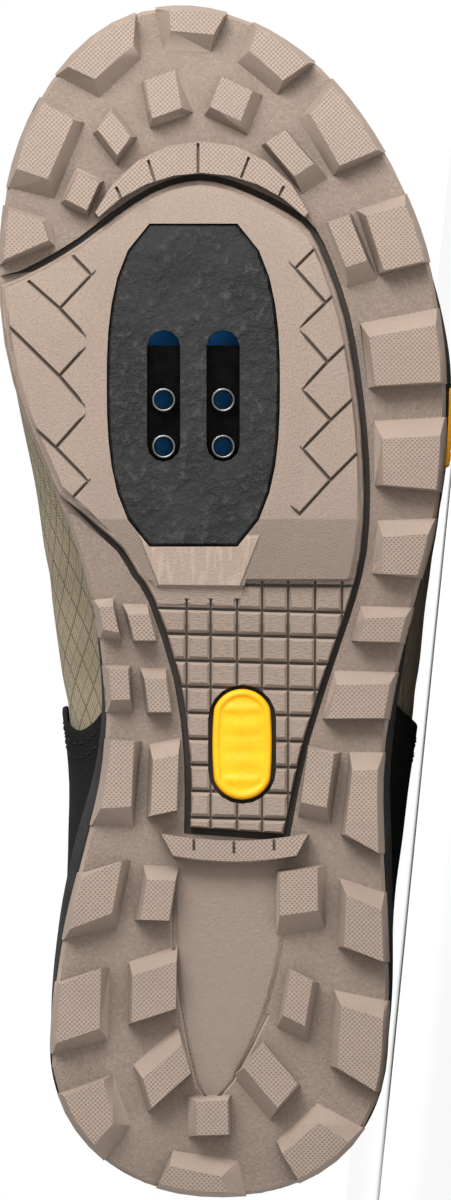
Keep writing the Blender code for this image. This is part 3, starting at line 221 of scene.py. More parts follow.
def new_piece(name, points, faces, uv=None, material=None, pose=True):
    """Object from arrays of points and four-cornered faces, with its map in centimetres."""
    points = np.asarray(points, dtype=float).reshape(-1, 3)
    mesh = bpy.data.meshes.new(name)
    mesh.vertices.add(len(points))
    mesh.vertices.foreach_set("co", (lying(points) if pose else points).ravel())
    mesh.loops.add(faces.size)
    mesh.loops.foreach_set("vertex_index", faces.ravel().astype(np.int32))
    mesh.polygons.add(len(faces))
    mesh.polygons.foreach_set("loop_start", np.arange(0, faces.size, 4, dtype=np.int32))
    mesh.update(calc_edges=True)
    if uv is not None:
        layer = mesh.uv_layers.new(name=PLAN)
        layer.data.foreach_set("uv", np.asarray(uv, dtype=np.float32).reshape(-1, 2)[faces.ravel()].ravel())
    mesh.validate()
    mesh.shade_smooth()
    if material:
        mesh.materials.append(material)
    return place(name, mesh)


def weld(piece, distance=DOUBLE, turn_out=True):
    """Merges doubles, drops what has no area and turns the faces of a closed shell outwards."""
    work = bmesh.new()
    work.from_mesh(piece.data)
    bmesh.ops.remove_doubles(work, verts=work.verts, dist=distance)
    bmesh.ops.dissolve_degenerate(work, edges=work.edges, dist=distance / 2)
    if turn_out:
        bmesh.ops.recalc_face_normals(work, faces=work.faces)
    work.to_mesh(piece.data)
    work.free()
    piece.data.shade_smooth()
    return piece


def grid_piece(name, grid, material=None, uv=None, pose=True, wrap="columns"):
    """Welded piece from one grid of points that closes in one direction."""
    faces = grid_faces(*grid.shape[:2], wrap_rows=wrap == "rows", wrap_columns=wrap == "columns")
    return weld(new_piece(name, grid, faces, uv, material, pose))


def repeated(cell, size, count):
    """Faces of one grid of a given size, repeated for a number of such grids."""
    return np.concatenate([cell + size * k for k in range(count)])


def dress(piece, slot, *replaced):
    """Lets a finished piece ride on the shoe, in the place of solids. The slot is not used."""
    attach(piece, "root")
    if replaced:
        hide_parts(*replaced)
    print(f"{piece.name}: {len(piece.data.polygons)} faces")
    return piece


def modifier(piece, kind, **settings):
    """Adds a modifier with the given settings."""
    added = piece.modifiers.new(kind.lower(), kind)
    for name, value in settings.items():
        setattr(added, name, value)
    return added


def round_edges(piece, width):
    """Rounds the edges of more than 50 degrees."""
    modifier(piece, "BEVEL", width=width, segments=2, limit_method="ANGLE", angle_limit=math.radians(50))


def circle(count):
    """Angles of one turn."""
    return np.linspace(0, 2 * math.pi, count, endpoint=False)


def blunt(wave, power):
    """A wave pressed towards a square one, which gives rounded boxes instead of ovals."""
    return np.sign(wave) * np.abs(wave) ** power


def unit(ways):
    """Directions brought to length 1."""
    return ways / np.linalg.norm(ways, axis=-1)[..., None]


def travel(path):
    """Distance along a path at each of its points."""
    return np.concatenate([[0], np.cumsum(np.linalg.norm(np.diff(path, axis=0), axis=1))])


print("helpers ready")

# %% [markdown]
# ## Helpers for materials
#
# Each finish is a small tree of nodes on the Principled shader. Patterns that follow a surface read
# the piece's own map in centimetres, and dirt and tone read Object coordinates in metres.

# %% Material helpers
class Finish:
    """One material, with short ways to add the nodes that all finishes here share."""

    def __init__(self, name, roughness, metallic=0.0, **sockets):
        self.material = bpy.data.materials.new(name)
        self.material.use_nodes = True
        self.tree = self.material.node_tree
        self.shader = self.tree.nodes["Principled BSDF"]
        for socket, value in {"Roughness": roughness, "Metallic": metallic, **sockets}.items():
            self.fill(self.shader.inputs[socket.replace("_", " ")], value)
        coordinates = self.tree.nodes.new("ShaderNodeTexCoord")
        self.uv, self.place = coordinates.outputs["UV"], coordinates.outputs["Object"]

    def fill(self, socket, value):
        """Gives an input a number, vector or colour, or links it to another node's socket."""
        if isinstance(value, bpy.types.NodeSocket):
            self.tree.links.new(value, socket)
        else:
            socket.default_value = (*value, 1.0) if socket.type == "RGBA" else value

    def node(self, kind, output, inputs, **settings):
        """Adds a node, fills its inputs by name or number and returns one of its outputs."""
        made = self.tree.nodes.new("ShaderNode" + kind)
        for name, value in settings.items():
            setattr(made, name, value)
        for name, value in inputs.items():
            self.fill(made.inputs[name], value)
        return made.outputs[output]

    def turned(self, source, degrees=0.0, scale=(1.0, 1.0, 1.0)):
        """The map turned about its third axis and scaled."""
        rotation = (0.0, 0.0, math.radians(degrees))
        return self.node("Mapping", "Vector", {"Vector": source, "Rotation": rotation, "Scale": scale})

    def noise(self, source, scale, detail=3.0, roughness=0.5):
        inputs = {"Vector": source, "Scale": scale, "Detail": detail, "Roughness": roughness}
        return self.node("TexNoise", "Fac", inputs)

    def cells(self, source, scale, distance="CHEBYCHEV", randomness=0.0):
        """Distance from the middle of the nearest cell of a grid, or of a loose grid."""
        inputs = {"Vector": source, "Scale": scale, "Randomness": randomness}
        return self.node("TexVoronoi", "Distance", inputs, voronoi_dimensions="2D", distance=distance)

    def stripes(self, source, scale, axis="X"):
        inputs = {"Vector": source, "Scale": scale}
        return self.node("TexWave", "Fac", inputs, wave_type="BANDS", bands_direction=axis)

    def spread(self, value, low, high, start=0.0, end=1.0):
        """Maps a range of a value softly onto another."""
        inputs = {"Value": value, "From Min": low, "From Max": high, "To Min": start, "To Max": end}
        return self.node("MapRange", "Result", inputs, interpolation_type="SMOOTHSTEP", clamp=True)

    def calc(self, operation, *values):
        """One step of arithmetic on sockets and numbers, for patterns with a formula."""
        return self.node("Math", 0, dict(enumerate(values)), operation=operation)

    def plan(self):
        """The two numbers of the map, in centimetres."""
        return [self.node("SeparateXYZ", axis, {0: self.uv}) for axis in (0, 1)]

    def hollows(self, distance):
        """1 in the open and less where other faces are near: hollows, feet of slopes and grooves."""
        return self.node("AmbientOcclusion", "AO", {"Distance": distance}, samples=6)

    def mixed(self, factor, first, second):
        """Colour between two, which are colours or sockets."""
        return self.node("Mix", 2, {0: factor, 6: first, 7: second}, data_type="RGBA")

    def tinted(self, base, *layers):
        """A base under layers of (colour, value, low, high, start, end): each colour covers what is
        below it by a share that climbs from start to end as the value goes from low to high."""
        for colour, value, *span in layers:
            base = self.mixed(self.spread(value, *span), base, colour)
        return base

    def cloudy(self, scale, detail, dark, light, low=0.3, high=0.7, roughness=0.5):
        """Tone that drifts between two colours, and the noise that it follows."""
        cloud = self.noise(self.place, scale, detail, roughness)
        return self.mixed(self.spread(cloud, low, high), dark, light), cloud

    def colour(self, value):
        self.fill(self.shader.inputs["Base Color"], value)

    def rough(self, value):
        self.fill(self.shader.inputs["Roughness"], value)

    def bump(self, *layers):
        """Chain of bumps, each a height with its depth in metres."""
        last = {}
        for height, depth in layers:
            last = {"Normal": self.node("Bump", "Normal", {"Distance": depth, "Height": height, **last})}
        self.fill(self.shader.inputs["Normal"], last["Normal"])


print("material helpers ready")

# %% [markdown]
# ## Tread rubber
#
# The sole is moulded from one taupe rubber, and the mould gives each level its own grain. Lug tops
# carry a diamond knurl of about 0.8 mm, the ground between them a fine diagonal ribbing, and the
# slopes are smooth. One function makes all of them from one colour, with painted light and shade by
# level: lug tops lighter, slopes a little lighter than the ground, and the recessed ground and arch darker.

# %% Tread rubber finishes
RUBBER = (0.245, 0.186, 0.148)


def shade(colour, factor):
    """The colour made lighter or darker."""
    return tuple(min(1.0, c * factor) for c in colour)


def offset_from(finish, value, centre):
    """Distance of a socket's value from a number or another socket."""
    return finish.calc("ABSOLUTE", finish.calc("SUBTRACT", value, centre))


def worn_dish(finish):
    """Share of the polished dish in the heel. Its middle line leans a little, and its half width is a
    blunt bow: w = 1.39 (1 - t squared) to the power 0.7, where t counts from 0 at the bar to 1 at the tip."""
    bar, share_a_cm, widest, lean, start, fade = 7.69, 0.179, 1.39, 0.494, -0.141, 0.16
    u, v = finish.plan()
    t = finish.calc("MULTIPLY", finish.calc("SUBTRACT", bar, v), share_a_cm)
    square = finish.calc("MULTIPLY", t, t)
    bow = finish.calc("MAXIMUM", finish.calc("SUBTRACT", 1.0, square), 0.0)
    half = finish.calc("MULTIPLY", finish.calc("POWER", bow, 0.7), widest)
    aside = offset_from(finish, u, finish.calc("MULTIPLY_ADD", square, lean, start))
    inside = finish.spread(finish.calc("SUBTRACT", half, aside), 0.0, fade)
    return finish.calc("MULTIPLY", inside, finish.spread(v, 8.3, 8.1))


def smooth_wedge(finish):
    """Share of the smooth wedge below the plate: half width 0.82 + 0.395 (v - 13.98) about u = 0.6."""
    middle, slope, base, fade = 0.60, 0.395, -4.70, 0.05
    u, v = finish.plan()
    half = finish.calc("MULTIPLY_ADD", v, slope, base)
    inside = finish.spread(finish.calc("SUBTRACT", half, offset_from(finish, u, middle)), 0.0, fade)
    ends = finish.calc("MULTIPLY", finish.spread(v, 13.9, 14.0), finish.spread(v, 15.6, 15.5))
    return finish.calc("MULTIPLY", inside, ends)


def rubber(name, pattern, tone=1.0):
    """Taupe rubber: cloudy tone, fine dark specks, darker marks in the pattern, painted shade in the hollows and the
    knurl's dimples, and the pattern as a bump.
    """
    finish = Finish(name, 0.74, Coat_Weight=0.03, Coat_Roughness=0.5, Specular_IOR_Level=0.35)

    def taupe(factor):
        return shade(RUBBER, factor * tone)

    base, cloud = finish.cloudy(55.0, 4.0, taupe(0.93), taupe(1.06))
    speck = finish.noise(finish.place, 1900.0, 2.0)
    base = finish.tinted(base, (taupe(0.70), speck, 0.40, 0.70, 0.0, 0.30))
    rough = finish.spread(cloud, 0.3, 0.7, 0.66, 0.82)
    layers = [(speck, 0.0001)]
    if pattern == "knurl":
        cells = finish.cells(finish.turned(finish.uv, 45.0), 13.0)
        dimple = finish.spread(cells, 0.18, 0.36, 1.0, 0.0)
        # Painted shade: the knurl's dimples are drawn darker than the rest of the lug top.
        base = finish.tinted(base, (taupe(0.52), dimple, 0.0, 1.0, 0.0, 0.75))
        layers.append((finish.spread(dimple, 0.0, 1.0, 1.0, 0.0), 0.00014))
    if pattern == "ribs":
        dish = worn_dish(finish)
        grit = finish.noise(finish.place, 1250.0, 3.0, 0.7)
        lines = finish.stripes(finish.turned(finish.uv, 40.0), 6.8)
        matt = finish.tinted(base, (taupe(0.62), lines, 0.1, 0.6, 0.45, 0.0),
                             (taupe(0.60), grit, 0.30, 0.48, 0.55, 0.0),
                             (taupe(1.35), grit, 0.54, 0.68, 0.0, 0.45))
        base = finish.mixed(finish.calc("MULTIPLY", dish, 0.85), matt, taupe(0.99))
        rough = finish.calc("SUBTRACT", rough, finish.calc("MULTIPLY", dish, 0.20))
        layers += [(lines, 0.00010), (grit, 0.00022), (dish, 0.0006)]
    if pattern == "grain":
        wedge = smooth_wedge(finish)
        low_end = finish.spread(finish.plan()[1], 15.98, 15.93)
        field = finish.calc("MULTIPLY", low_end, finish.calc("SUBTRACT", 1.0, wedge))
        dots = finish.cells(finish.turned(finish.uv, 20.0), 17.0, "EUCLIDEAN", 0.6)
        scuff = finish.noise(finish.turned(finish.uv, 8.0, (9.0, 1.6, 1.0)), 1.0, 4.0)
        lines = finish.stripes(finish.turned(finish.uv, 40.0), 6.0)
        hatch = finish.calc("MULTIPLY", field, finish.spread(lines, 0.1, 0.6, 0.7, 0.0))
        pale = finish.mixed(finish.spread(scuff, 0.45, 0.65), taupe(1.06), taupe(1.28))
        base = finish.tinted(base, (taupe(0.62), dots, 0.30, 0.60, 0.0, 0.32))
        for share, colour in ((field, taupe(0.80)), (hatch, taupe(0.55)), (wedge, pale)):
            base = finish.mixed(share, base, colour)
        layers += [(dots, 0.00008), (hatch, 0.00010), (wedge, 0.0005), (scuff, 0.0001)]
    if pattern == "blocks":
        lines = finish.noise(finish.turned(finish.uv, 0.0, (7.0, 26.0, 1.0)), 1.0, 3.0)
        base = finish.tinted(base, (taupe(0.62), lines, 0.30, 0.55, 0.55, 0.0))
        layers.append((lines, 0.00022))
    # Painted shade: where other faces are near, at feet of slopes, grooves and hollows, the colour is darkened
    # towards a dark taupe.
    shadow = finish.spread(finish.hollows(0.006), 0.25, 0.85, 0.55, 0.0)
    finish.colour(finish.mixed(shadow, base, taupe(0.42)))
    finish.rough(rough)
    finish.bump(*layers)
    return finish.material


# Painted light and shade by level: lug tops lighter, recessed ground and arch darker than the slopes. The groove and
# line finishes are painted shade, near black and dark.
TREAD_FINISHES = [
    rubber("rubber_smooth", "", 1.00), rubber("rubber_lug_top", "knurl", 1.10),
    rubber("rubber_ground", "ribs", 0.92), rubber("rubber_pad", "grain", 1.0),
    rubber("rubber_arch", "blocks", 0.92), rubber("rubber_groove_painted_shade", "", 0.15), rubber("rubber_line_painted_shade", "", 0.38)]
print("rubber finishes:", len(TREAD_FINISHES))

# %% [markdown]
# ## Outsole
#
# The outsole is moulded in steel, so its lugs have flat tops, straight slopes and sharp feet. The
# solid already has those, so a merged copy of it is the blank. What a mould maker would engrave
# last is engraved here too: the lattice of grooves on the two pads, the small blocks in the arch and
# the slits in the two bars. Each engraving is a blunt wedge carried along a line, and the finished
# blank gets its finishes by level.

# %% Engraving tools
PROFILE = [(-1, -1, 0), (-1, 0, 0), (-1, 0.55, 1), (-1, 1, 1), (1, 1, 1), (1, 0.55, 1), (1, 0, 0), (1, -1, 0)]


def carried_wedge(line, level, depth, half_top, half_bottom):
    """Points of a blunt wedge along a plan line in photograph pixels, lifted by the sole's rise. Each
    row of the profile gives the side, the share of the depth, and whether it is as narrow as the
    bottom. The first and last corners stand 1 mm outside the surface."""
    corners = np.array([photo_mm(*point) for point in line])
    steps = np.hypot(*np.diff(corners, axis=0).T)
    travelled = np.concatenate([[0], np.cumsum(steps)])
    cuts = STATIONS * SOLE_LENGTH
    at = [travelled]
    for a, b, start, step in zip(corners[:-1], corners[1:], travelled[:-1], steps):
        if abs(b[1] - a[1]) > 1e-6:
            share = (cuts - a[1]) / (b[1] - a[1])
            at.append(start + share[(share > 0.02) & (share < 0.98)] * step)
    at = np.unique(np.round(np.concatenate(at), 7))
    path = np.stack([np.interp(at, travelled, corners[:, k]) for k in (0, 1)], axis=1)
    way = unit(np.gradient(path, axis=0))
    side = np.stack([way[:, 1], -way[:, 0]], axis=1)
    rings = []
    for hand, share, narrow in PROFILE:
        across = hand * (half_bottom if narrow else half_top) * MM
        deep = (depth * share if share > 0 else share) * MM
        rings.append(np.column_stack([path + across * side, level + deep + rise(path[:, 1])]))
    return np.stack(rings, axis=1)


def faced_piece(name, points, faces):
    """Welded object from points and faces of any number of corners."""
    mesh = bpy.data.meshes.new(name)
    mesh.from_pydata(points.tolist(), [], faces)
    return weld(place(name, mesh))


def engrave(blank, lines, level, depth, half_top, half_bottom, region=None):
    """Cuts every line of a list that don't touch each other, all in one tool, out of the blank."""
    points, faces, start, corners = [], [], 0, len(PROFILE)
    for line in lines:
        ring = carried_wedge(line, level, depth, half_top, half_bottom)
        end = start + len(ring) * corners
        points.append(ring.reshape(-1, 3))
        faces += (grid_faces(len(ring), corners, wrap_columns=True) + start).tolist()
        faces += [list(range(start, start + corners)), list(range(end - corners, end))]
        start = end
    tool = faced_piece("tool", np.concatenate(points), faces)
    if region:
        combine(tool, region, "INTERSECT", keep_tool=True)
    combine(blank, tool, "DIFFERENCE")


def combine(body, tool, operation, keep_tool=False):
    """Exact Boolean of two solids, applied at once."""
    modifier(body, "BOOLEAN", operation=operation, solver="EXACT", object=tool)
    bpy.context.view_layer.update()
    graph = bpy.context.evaluated_depsgraph_get()
    result = bpy.data.meshes.new_from_object(body.evaluated_get(graph))
    body.modifiers.clear()
    body.data = result
    if not keep_tool:
        bpy.data.objects.remove(tool)


def plan_prism(name, plan, low, high):
    """Upright prism over plan points, between two given heights."""
    plan = np.asarray(plan)
    rings = [np.column_stack([plan, np.broadcast_to(z, len(plan))]) for z in (low, high)]
    count = len(plan)
    faces = grid_faces(2, count, wrap_columns=True).tolist() + [list(range(count)), list(range(count, 2 * count))]
    return faced_piece(name, np.concatenate(rings), faces)


print("engraving tools ready")


# %% Outsole blank
def solid_copy(node, name):
    """Merged copy of a solid, turned back to the standing pose, where it is worked on."""
    piece = place(name, nodes[node].data.copy())
    piece.data.materials.clear()
    piece.data.transform(REST.inverted())
    work = bmesh.new()
    work.from_mesh(piece.data)
    bmesh.ops.remove_doubles(work, verts=work.verts, dist=DOUBLE)
    work.to_mesh(piece.data)
    work.free()
    return piece


def open_edges(piece):
    """How many edges of a piece don't have exactly two faces."""
    count = np.zeros(len(piece.data.edges), dtype=int)
    np.add.at(count, read(piece.data.loops, "edge_index", 1, np.int32), 1)
    return int(np.sum(count != 2))


outsole = solid_copy("outsole", "tread")
print("blank:", len(outsole.data.polygons), "faces")

# %% [markdown]
# The lattice on the pads is two families of parallel grooves that meet in T joints. Lines of one
# family never touch, so each family is a single tool.

# %% Pad lattice
PAD_FALLING = [
    [(70, 253), (92, 276)], [(28, 281), (60, 309), (91, 342)], [(8, 326), (60, 377), (89, 411)],
    [(30, 424), (57, 449), (89, 482)], [(260, 231), (296, 270), (326, 304)], [(280, 310), (299, 330), (328, 363)],
    [(284, 372), (302, 390), (331, 421)], [(285, 432), (303, 450), (331, 481)], [(280, 496), (300, 515)]]
PAD_RISING = [
    [(107, 260), (91, 276), (60, 309)], [(98, 336), (90, 343), (59, 377)], [(97, 403), (88, 412), (56, 448)],
    [(102, 468), (87, 483), (71, 500)], [(295, 269), (315, 249)], [(298, 330), (326, 303), (333, 296)],
    [(302, 390), (327, 363), (345, 346)], [(303, 449), (330, 421), (353, 399)],
    [(299, 515), (330, 481), (357, 454)]]
for family in (PAD_FALLING, PAD_RISING):
    engrave(outsole, family, PAD_LEVEL, depth=1.0, half_top=0.52, half_bottom=0.24)
    print("pad grooves:", len(family), "open edges:", open_edges(outsole))

# %% [markdown]
# In the arch the ground is cut into blocks of about 6 mm. Their lines only run as far as the groove
# round the panel, so each family is first trimmed by a prism of that panel's shape.

# %% Arch blocks
OUTER_GROOVE = [(0.592, -0.323), (0.542, -0.316), (0.502, -0.291), (0.466, -0.259), (0.383, -0.186), (0.301, -0.139)]
INNER_GROOVE = [(0.307, 0.086), (0.366, 0.086), (0.433, 0.109), (0.500, 0.168), (0.521, 0.205)]


def groove_line(table, inset):
    """Smooth plan curve through shares of the length and the ball width, moved inwards."""
    knots = np.arange(len(table))
    at = np.linspace(0, len(table) - 1, 2 * (len(table) - 1) + 1)
    y = smooth(at, knots, [row[0] for row in table]) * SOLE_LENGTH
    x = smooth(at, knots, [row[1] for row in table]) * BALL_WIDTH
    return np.stack([x + inset, y], axis=1)


STEP_CORNERS, STEP_ALONG = ((240, 605), (246, 579), (360, 579), (356, 605)), 0.5
BELOW, ABOVE, CLEAR = -5 * MM, 20 * MM, 0.2 * MM
PANEL_END, PANEL_MIDDLE = 142 * MM, (-4 * MM, 118 * MM)
step = plan_prism("step", [photo_mm(*corner) for corner in STEP_CORNERS], BELOW,
                  ARCH_LEVEL + float(rise(STEP_ALONG * SOLE_LENGTH)))
combine(outsole, step, "DIFFERENCE")
panel = np.vstack([groove_line(OUTER_GROOVE, CLEAR)[::-1], groove_line(INNER_GROOVE, -CLEAR)[::-1]])
panel = np.vstack([panel[panel[:, 1] < PANEL_END], photo_mm(365, 581), photo_mm(160, 581)])
panel = panel[np.argsort(np.arctan2(*(panel - PANEL_MIDDLE).T[::-1]))]
region = plan_prism("panel", panel, BELOW, ABOVE)
BLOCK_COLUMNS = [186.5, 210.5, 237, 262, 288, 315, 342]
BLOCK_ROWS = [611, 636.5, 663, 689, 715, 741, 767, 793, 819.5]
ROW_ENDS, COLUMN_END, STEP_PIXEL = (140, 370), 843, 240
columns = [[(x + 0.13, COLUMN_END), (x + 0.13, 598.4 if x < STEP_PIXEL else 577)] for x in BLOCK_COLUMNS]
rows = [[(ROW_ENDS[0], y - 3.5), (ROW_ENDS[1], y + 2.5)] for y in BLOCK_ROWS] + [[(243, 585), (370, 586)]]
engrave(outsole, columns, ARCH_LEVEL, depth=1.2, half_top=0.85, half_bottom=0.25, region=region)
engrave(outsole, rows, ARCH_LEVEL, depth=1.35, half_top=1.05, half_bottom=0.32, region=region)
bpy.data.objects.remove(region)
print("arch lines:", len(columns) + len(rows), "open edges:", open_edges(outsole))

# %% [markdown]
# The two bars across the sole are slit so that they bend with it. The slits are deeper than the
# other engravings.

# %% Slits in the two bars
SLITS = [[(116, 187), (122, 200)], [(148, 160), (155, 182)], [(198, 143), (198, 175)], [(249, 157), (241, 178)],
         [(284, 186), (278, 198)], [(194, 835), (194, 850)], [(234, 836), (234, 853)], [(274, 835), (274, 850)]]
engrave(outsole, SLITS, level=0.0, depth=1.4, half_top=0.36, half_bottom=0.22)
print("slits:", len(SLITS))

# %% [markdown]
# Two places stand out from the ground by a fine step only: the polished dish in the heel and the
# smooth wedge below the plate. A shallow line round the dish's tip and down the wedge's sides gives
# that step.

# %% Outlines of dish and wedge
DISH = [(172, 876), (173, 940), (180, 1000), (189, 1050), (198, 1086), (208, 1100), (219, 1097), (233, 1080),
        (251, 1048), (268, 1014)]
WEDGE_SIDES = [[(143, 549), (164, 600)], [(256, 549), (236, 600)]]
engrave(outsole, [DISH], SLAB_LEVEL, depth=0.3, half_top=0.55, half_bottom=0.2)
engrave(outsole, WEDGE_SIDES, PAD_LEVEL, depth=0.6, half_top=0.5, half_bottom=0.25)
print("dish and wedge, open edges:", open_edges(outsole))

# %% [markdown]
# Last, each face gets its finish by where it lies: flat and lowest is a lug's top, then the pads, the
# arch and the ground, and everything sloped is smooth. The flat faces are shaded by the sole's smooth
# lift, so that the straight bands of the bend don't show.

# %% Outsole finishes
OUTER_LINE, INNER_LINE = groove_line(OUTER_GROOVE, 0.0)[::-1], groove_line(INNER_GROOVE, 0.0)
SMOOTH, LUG_TOP, GROUND, PAD, ARCH, GROOVE_SHADE, LINE_SHADE = range(7)
PLATE_X = 0.072 * BALL_WIDTH


def bed_normal(y):
    """Direction in which the tread faces at a distance from the heel: minus the gradient of the
    height, so (0, dh/dy, -1) brought to length 1."""
    along, step = np.asarray(y) / SOLE_LENGTH, 0.01
    slope = (smooth_lift(along + step) - smooth_lift(along - step)) / (2 * step * SOLE_LENGTH)
    size = np.sqrt(1 + slope ** 2)
    return np.stack([0 * slope, slope / size, -1 / size], axis=-1)


def between(values, low, high):
    """Which values lie between two limits."""
    return (values > low) & (values < high)


def finish_by_level(piece):
    """Index of the finish for each face, from its slope and its height over the risen tread in
    millimetres, and which faces are shaded by the smooth lift."""
    mesh = piece.data
    normal, middle, points = (read(*source) for source in (
        (mesh.polygons, "normal"), (mesh.polygons, "center"), (mesh.vertices, "co")))
    x, y = middle[:, 0], middle[:, 1]
    height = (points[:, 2] - rise(points[:, 1])) / MM
    corner = read(mesh.loops, "vertex_index", 1, np.int32)
    lowest = np.minimum.reduceat(height[corner], read(mesh.polygons, "loop_start", 1, np.int32))
    level, along = (middle[:, 2] - rise(y)) / MM, y / SOLE_LENGTH
    facing = np.abs(np.sum(normal * bed_normal(y), axis=1))
    down = normal[:, 2] < 0
    flat, steep = (facing > 0.965) & down, facing < 0.35
    trench = between(x, edge_x(along, -1) + 4 * MM, edge_x(along, 1) - 4 * MM) & between(along, 0.29, 0.87)
    panel = between(x, np.interp(y, *OUTER_LINE.T[::-1]), np.interp(y, *INNER_LINE.T[::-1]))
    index = np.zeros(len(level), dtype=np.int32)
    for finish, faces in (
            (LUG_TOP, flat & (level < 0.6)),
            (GROUND, flat & between(level, 4.2, 6.0)),
            (PAD, flat & between(level, 0.9, 2.0)),
            (ARCH, flat & between(level, 2.9, 4.0)),
            # Painted shade: faces deep in the groove round the panel get a near-black rubber, and the floors and
            # walls of the engraved lines a dark one.
            (GROOVE_SHADE, trench & (normal[:, 2] < 0.35) & between(level, 6.2, 7.6)),
            (GROOVE_SHADE, trench & steep & between(lowest, 3.9, 6.0) & (level < 7.6)),
            (LINE_SHADE, (flat | steep) & (lowest > 1.95) & between(level, 2.0, 2.9)),
            (LINE_SHADE, panel & between(along, 0.30, 0.518) & between(level, 4.15, 5.2))):
        index[faces] = finish
    aside = np.abs(x - PLATE_X) / MM
    ring = (aside < 28) & ((aside < 22) | (along < 0.82)) & between(along, 0.495, 0.855)
    ring &= (facing > 0.55) & down & between(level, 0.3, 6.0) & (index == SMOOTH)
    index[ring] = PAD
    mesh.polygons.foreach_set("material_index", index)
    return index, flat | ring


def map_plan(piece):
    """Map of the piece seen from below: its standing x and y in centimetres."""
    mesh = piece.data
    layer = mesh.uv_layers.get(PLAN) or mesh.uv_layers.new(name=PLAN)
    spots = read(mesh.vertices, "co")[read(mesh.loops, "vertex_index", 1, np.int32), :2] * 100
    layer.data.foreach_set("uv", spots.astype(np.float32).ravel())


def soften(piece, flat, sharp_from=14):
    """Shades the flat faces by the smooth lift and lays the piece down. All other faces are smooth up
    to an edge of so many degrees."""
    mesh = piece.data
    corner = read(mesh.loops, "vertex_index", 1, np.int32)
    wanted = bed_normal(read(mesh.vertices, "co")[corner, 1]) @ np.array(REST.to_3x3()).T
    mesh.transform(REST)
    mesh.shade_smooth()
    mesh.set_sharp_from_angle(angle=math.radians(sharp_from))
    corners = read(mesh.polygons, "loop_total", 1, np.int32)
    chosen = np.where(np.repeat(flat, corners)[:, None], wanted, read(mesh.corner_normals, "vector"))
    mesh.normals_split_custom_set(chosen.tolist())


for finish in TREAD_FINISHES:
    outsole.data.materials.append(finish)
index, flat = finish_by_level(outsole)
print("faces by finish:", np.bincount(index))
map_plan(outsole)
soften(outsole, flat)
dress(outsole, "tread_rubber", "outsole")

# %% [markdown]
# ## Cleat plate and its threaded plate
#
# In the middle of the sole sits a stiff black plate with two slots. Behind it a steel plate carries
# four threaded sleeves, which take the cleat's bolts and slide along the slots. Both solids have the
# right shape, so they stay and only get rounded edges and a finish. What the solids leave out is
# the rolled lip of each sleeve and the thread in its bore.

# %% Plate and steel finishes
def worn_plate():
    """Black moulded plate: wrinkled like cast stone, with pale scuffs where grit has rubbed it."""
    finish = Finish("plate_black", 0.55, Specular_IOR_Level=0.28)
    wrinkle = finish.noise(finish.place, 420.0, 6.0, 0.65)
    base, cloud = finish.cloudy(90.0, 5.0, (0.0045, 0.0043, 0.0042), (0.017, 0.0164, 0.0160), 0.35, 0.70, 0.6)
    finish.colour(finish.tinted(base, ((0.050, 0.048, 0.046), wrinkle, 0.52, 0.70, 0.0, 0.60)))
    finish.rough(finish.spread(cloud, 0.35, 0.70, 0.42, 0.66))
    finish.bump((wrinkle, 0.0011), (finish.noise(finish.place, 2200.0, 2.0), 0.00012))
    return finish.material


def steel(name, colour, roughness):
    """Turned steel: fine rings of tool marks and a faint stain."""
    finish = Finish(name, roughness, metallic=1.0)
    mark = finish.noise(finish.place, 1800.0, 3.0)
    finish.colour(finish.cloudy(260.0, 3.0, colour, shade(colour, 0.62), 0.35, 0.7)[0])
    finish.rough(finish.spread(mark, 0.3, 0.7, roughness * 0.8, roughness * 1.3))
    finish.bump((mark, 0.00003))
    return finish.material


PLATE_BLACK = worn_plate()
DARK_STEEL = steel("steel_dark", (0.0055, 0.0054, 0.0053), 0.45)
BRIGHT_STEEL = steel("steel_bright", (0.19, 0.185, 0.18), 0.30)


def carry_over(node, material, width):
    """Gives a solid that stays its finish, joins its loose triangles and rounds its edges."""
    piece = nodes[node]
    piece.data.materials.clear()
    piece.data.materials.append(material)
    modifier(piece, "WELD", merge_threshold=DOUBLE)
    round_edges(piece, width)


carry_over("cleat_plate", PLATE_BLACK, 0.35 * MM)
carry_over("cleat_nut", DARK_STEEL, 0.15 * MM)
print("plate and threaded plate dressed")

# %% [markdown]
# A lip and a thread are surfaces turned about the bore's axis: the same profile at 48 angles. The
# thread's radius falls and climbs once for each pitch of depth and turns on by one pitch a round.

# %% Sleeve lips and threads
SLEEVE_Y, AROUND = 0.648 * SOLE_LENGTH, 48
SLEEVES = [(PLATE_X + i * 7 * MM, SLEEVE_Y + j * 5.5 * MM) for i in (-1, 1) for j in (-1, 1)]
LIP_LEVEL, BORE_END, LIP_RADIUS, BORE_RADIUS, PITCH = 7.0, 11.6, 2.50, 2.02, 0.8


def turned(centre, radius, height):
    """Surface turned about an upright axis: rows go round, columns run along the profile."""
    angle = circle(AROUND)[:, None]
    x, y = centre[0] + radius * np.cos(angle), centre[1] + radius * np.sin(angle)
    return np.stack([x, y, np.broadcast_to(height + rise(centre[1]), x.shape)], axis=-1)


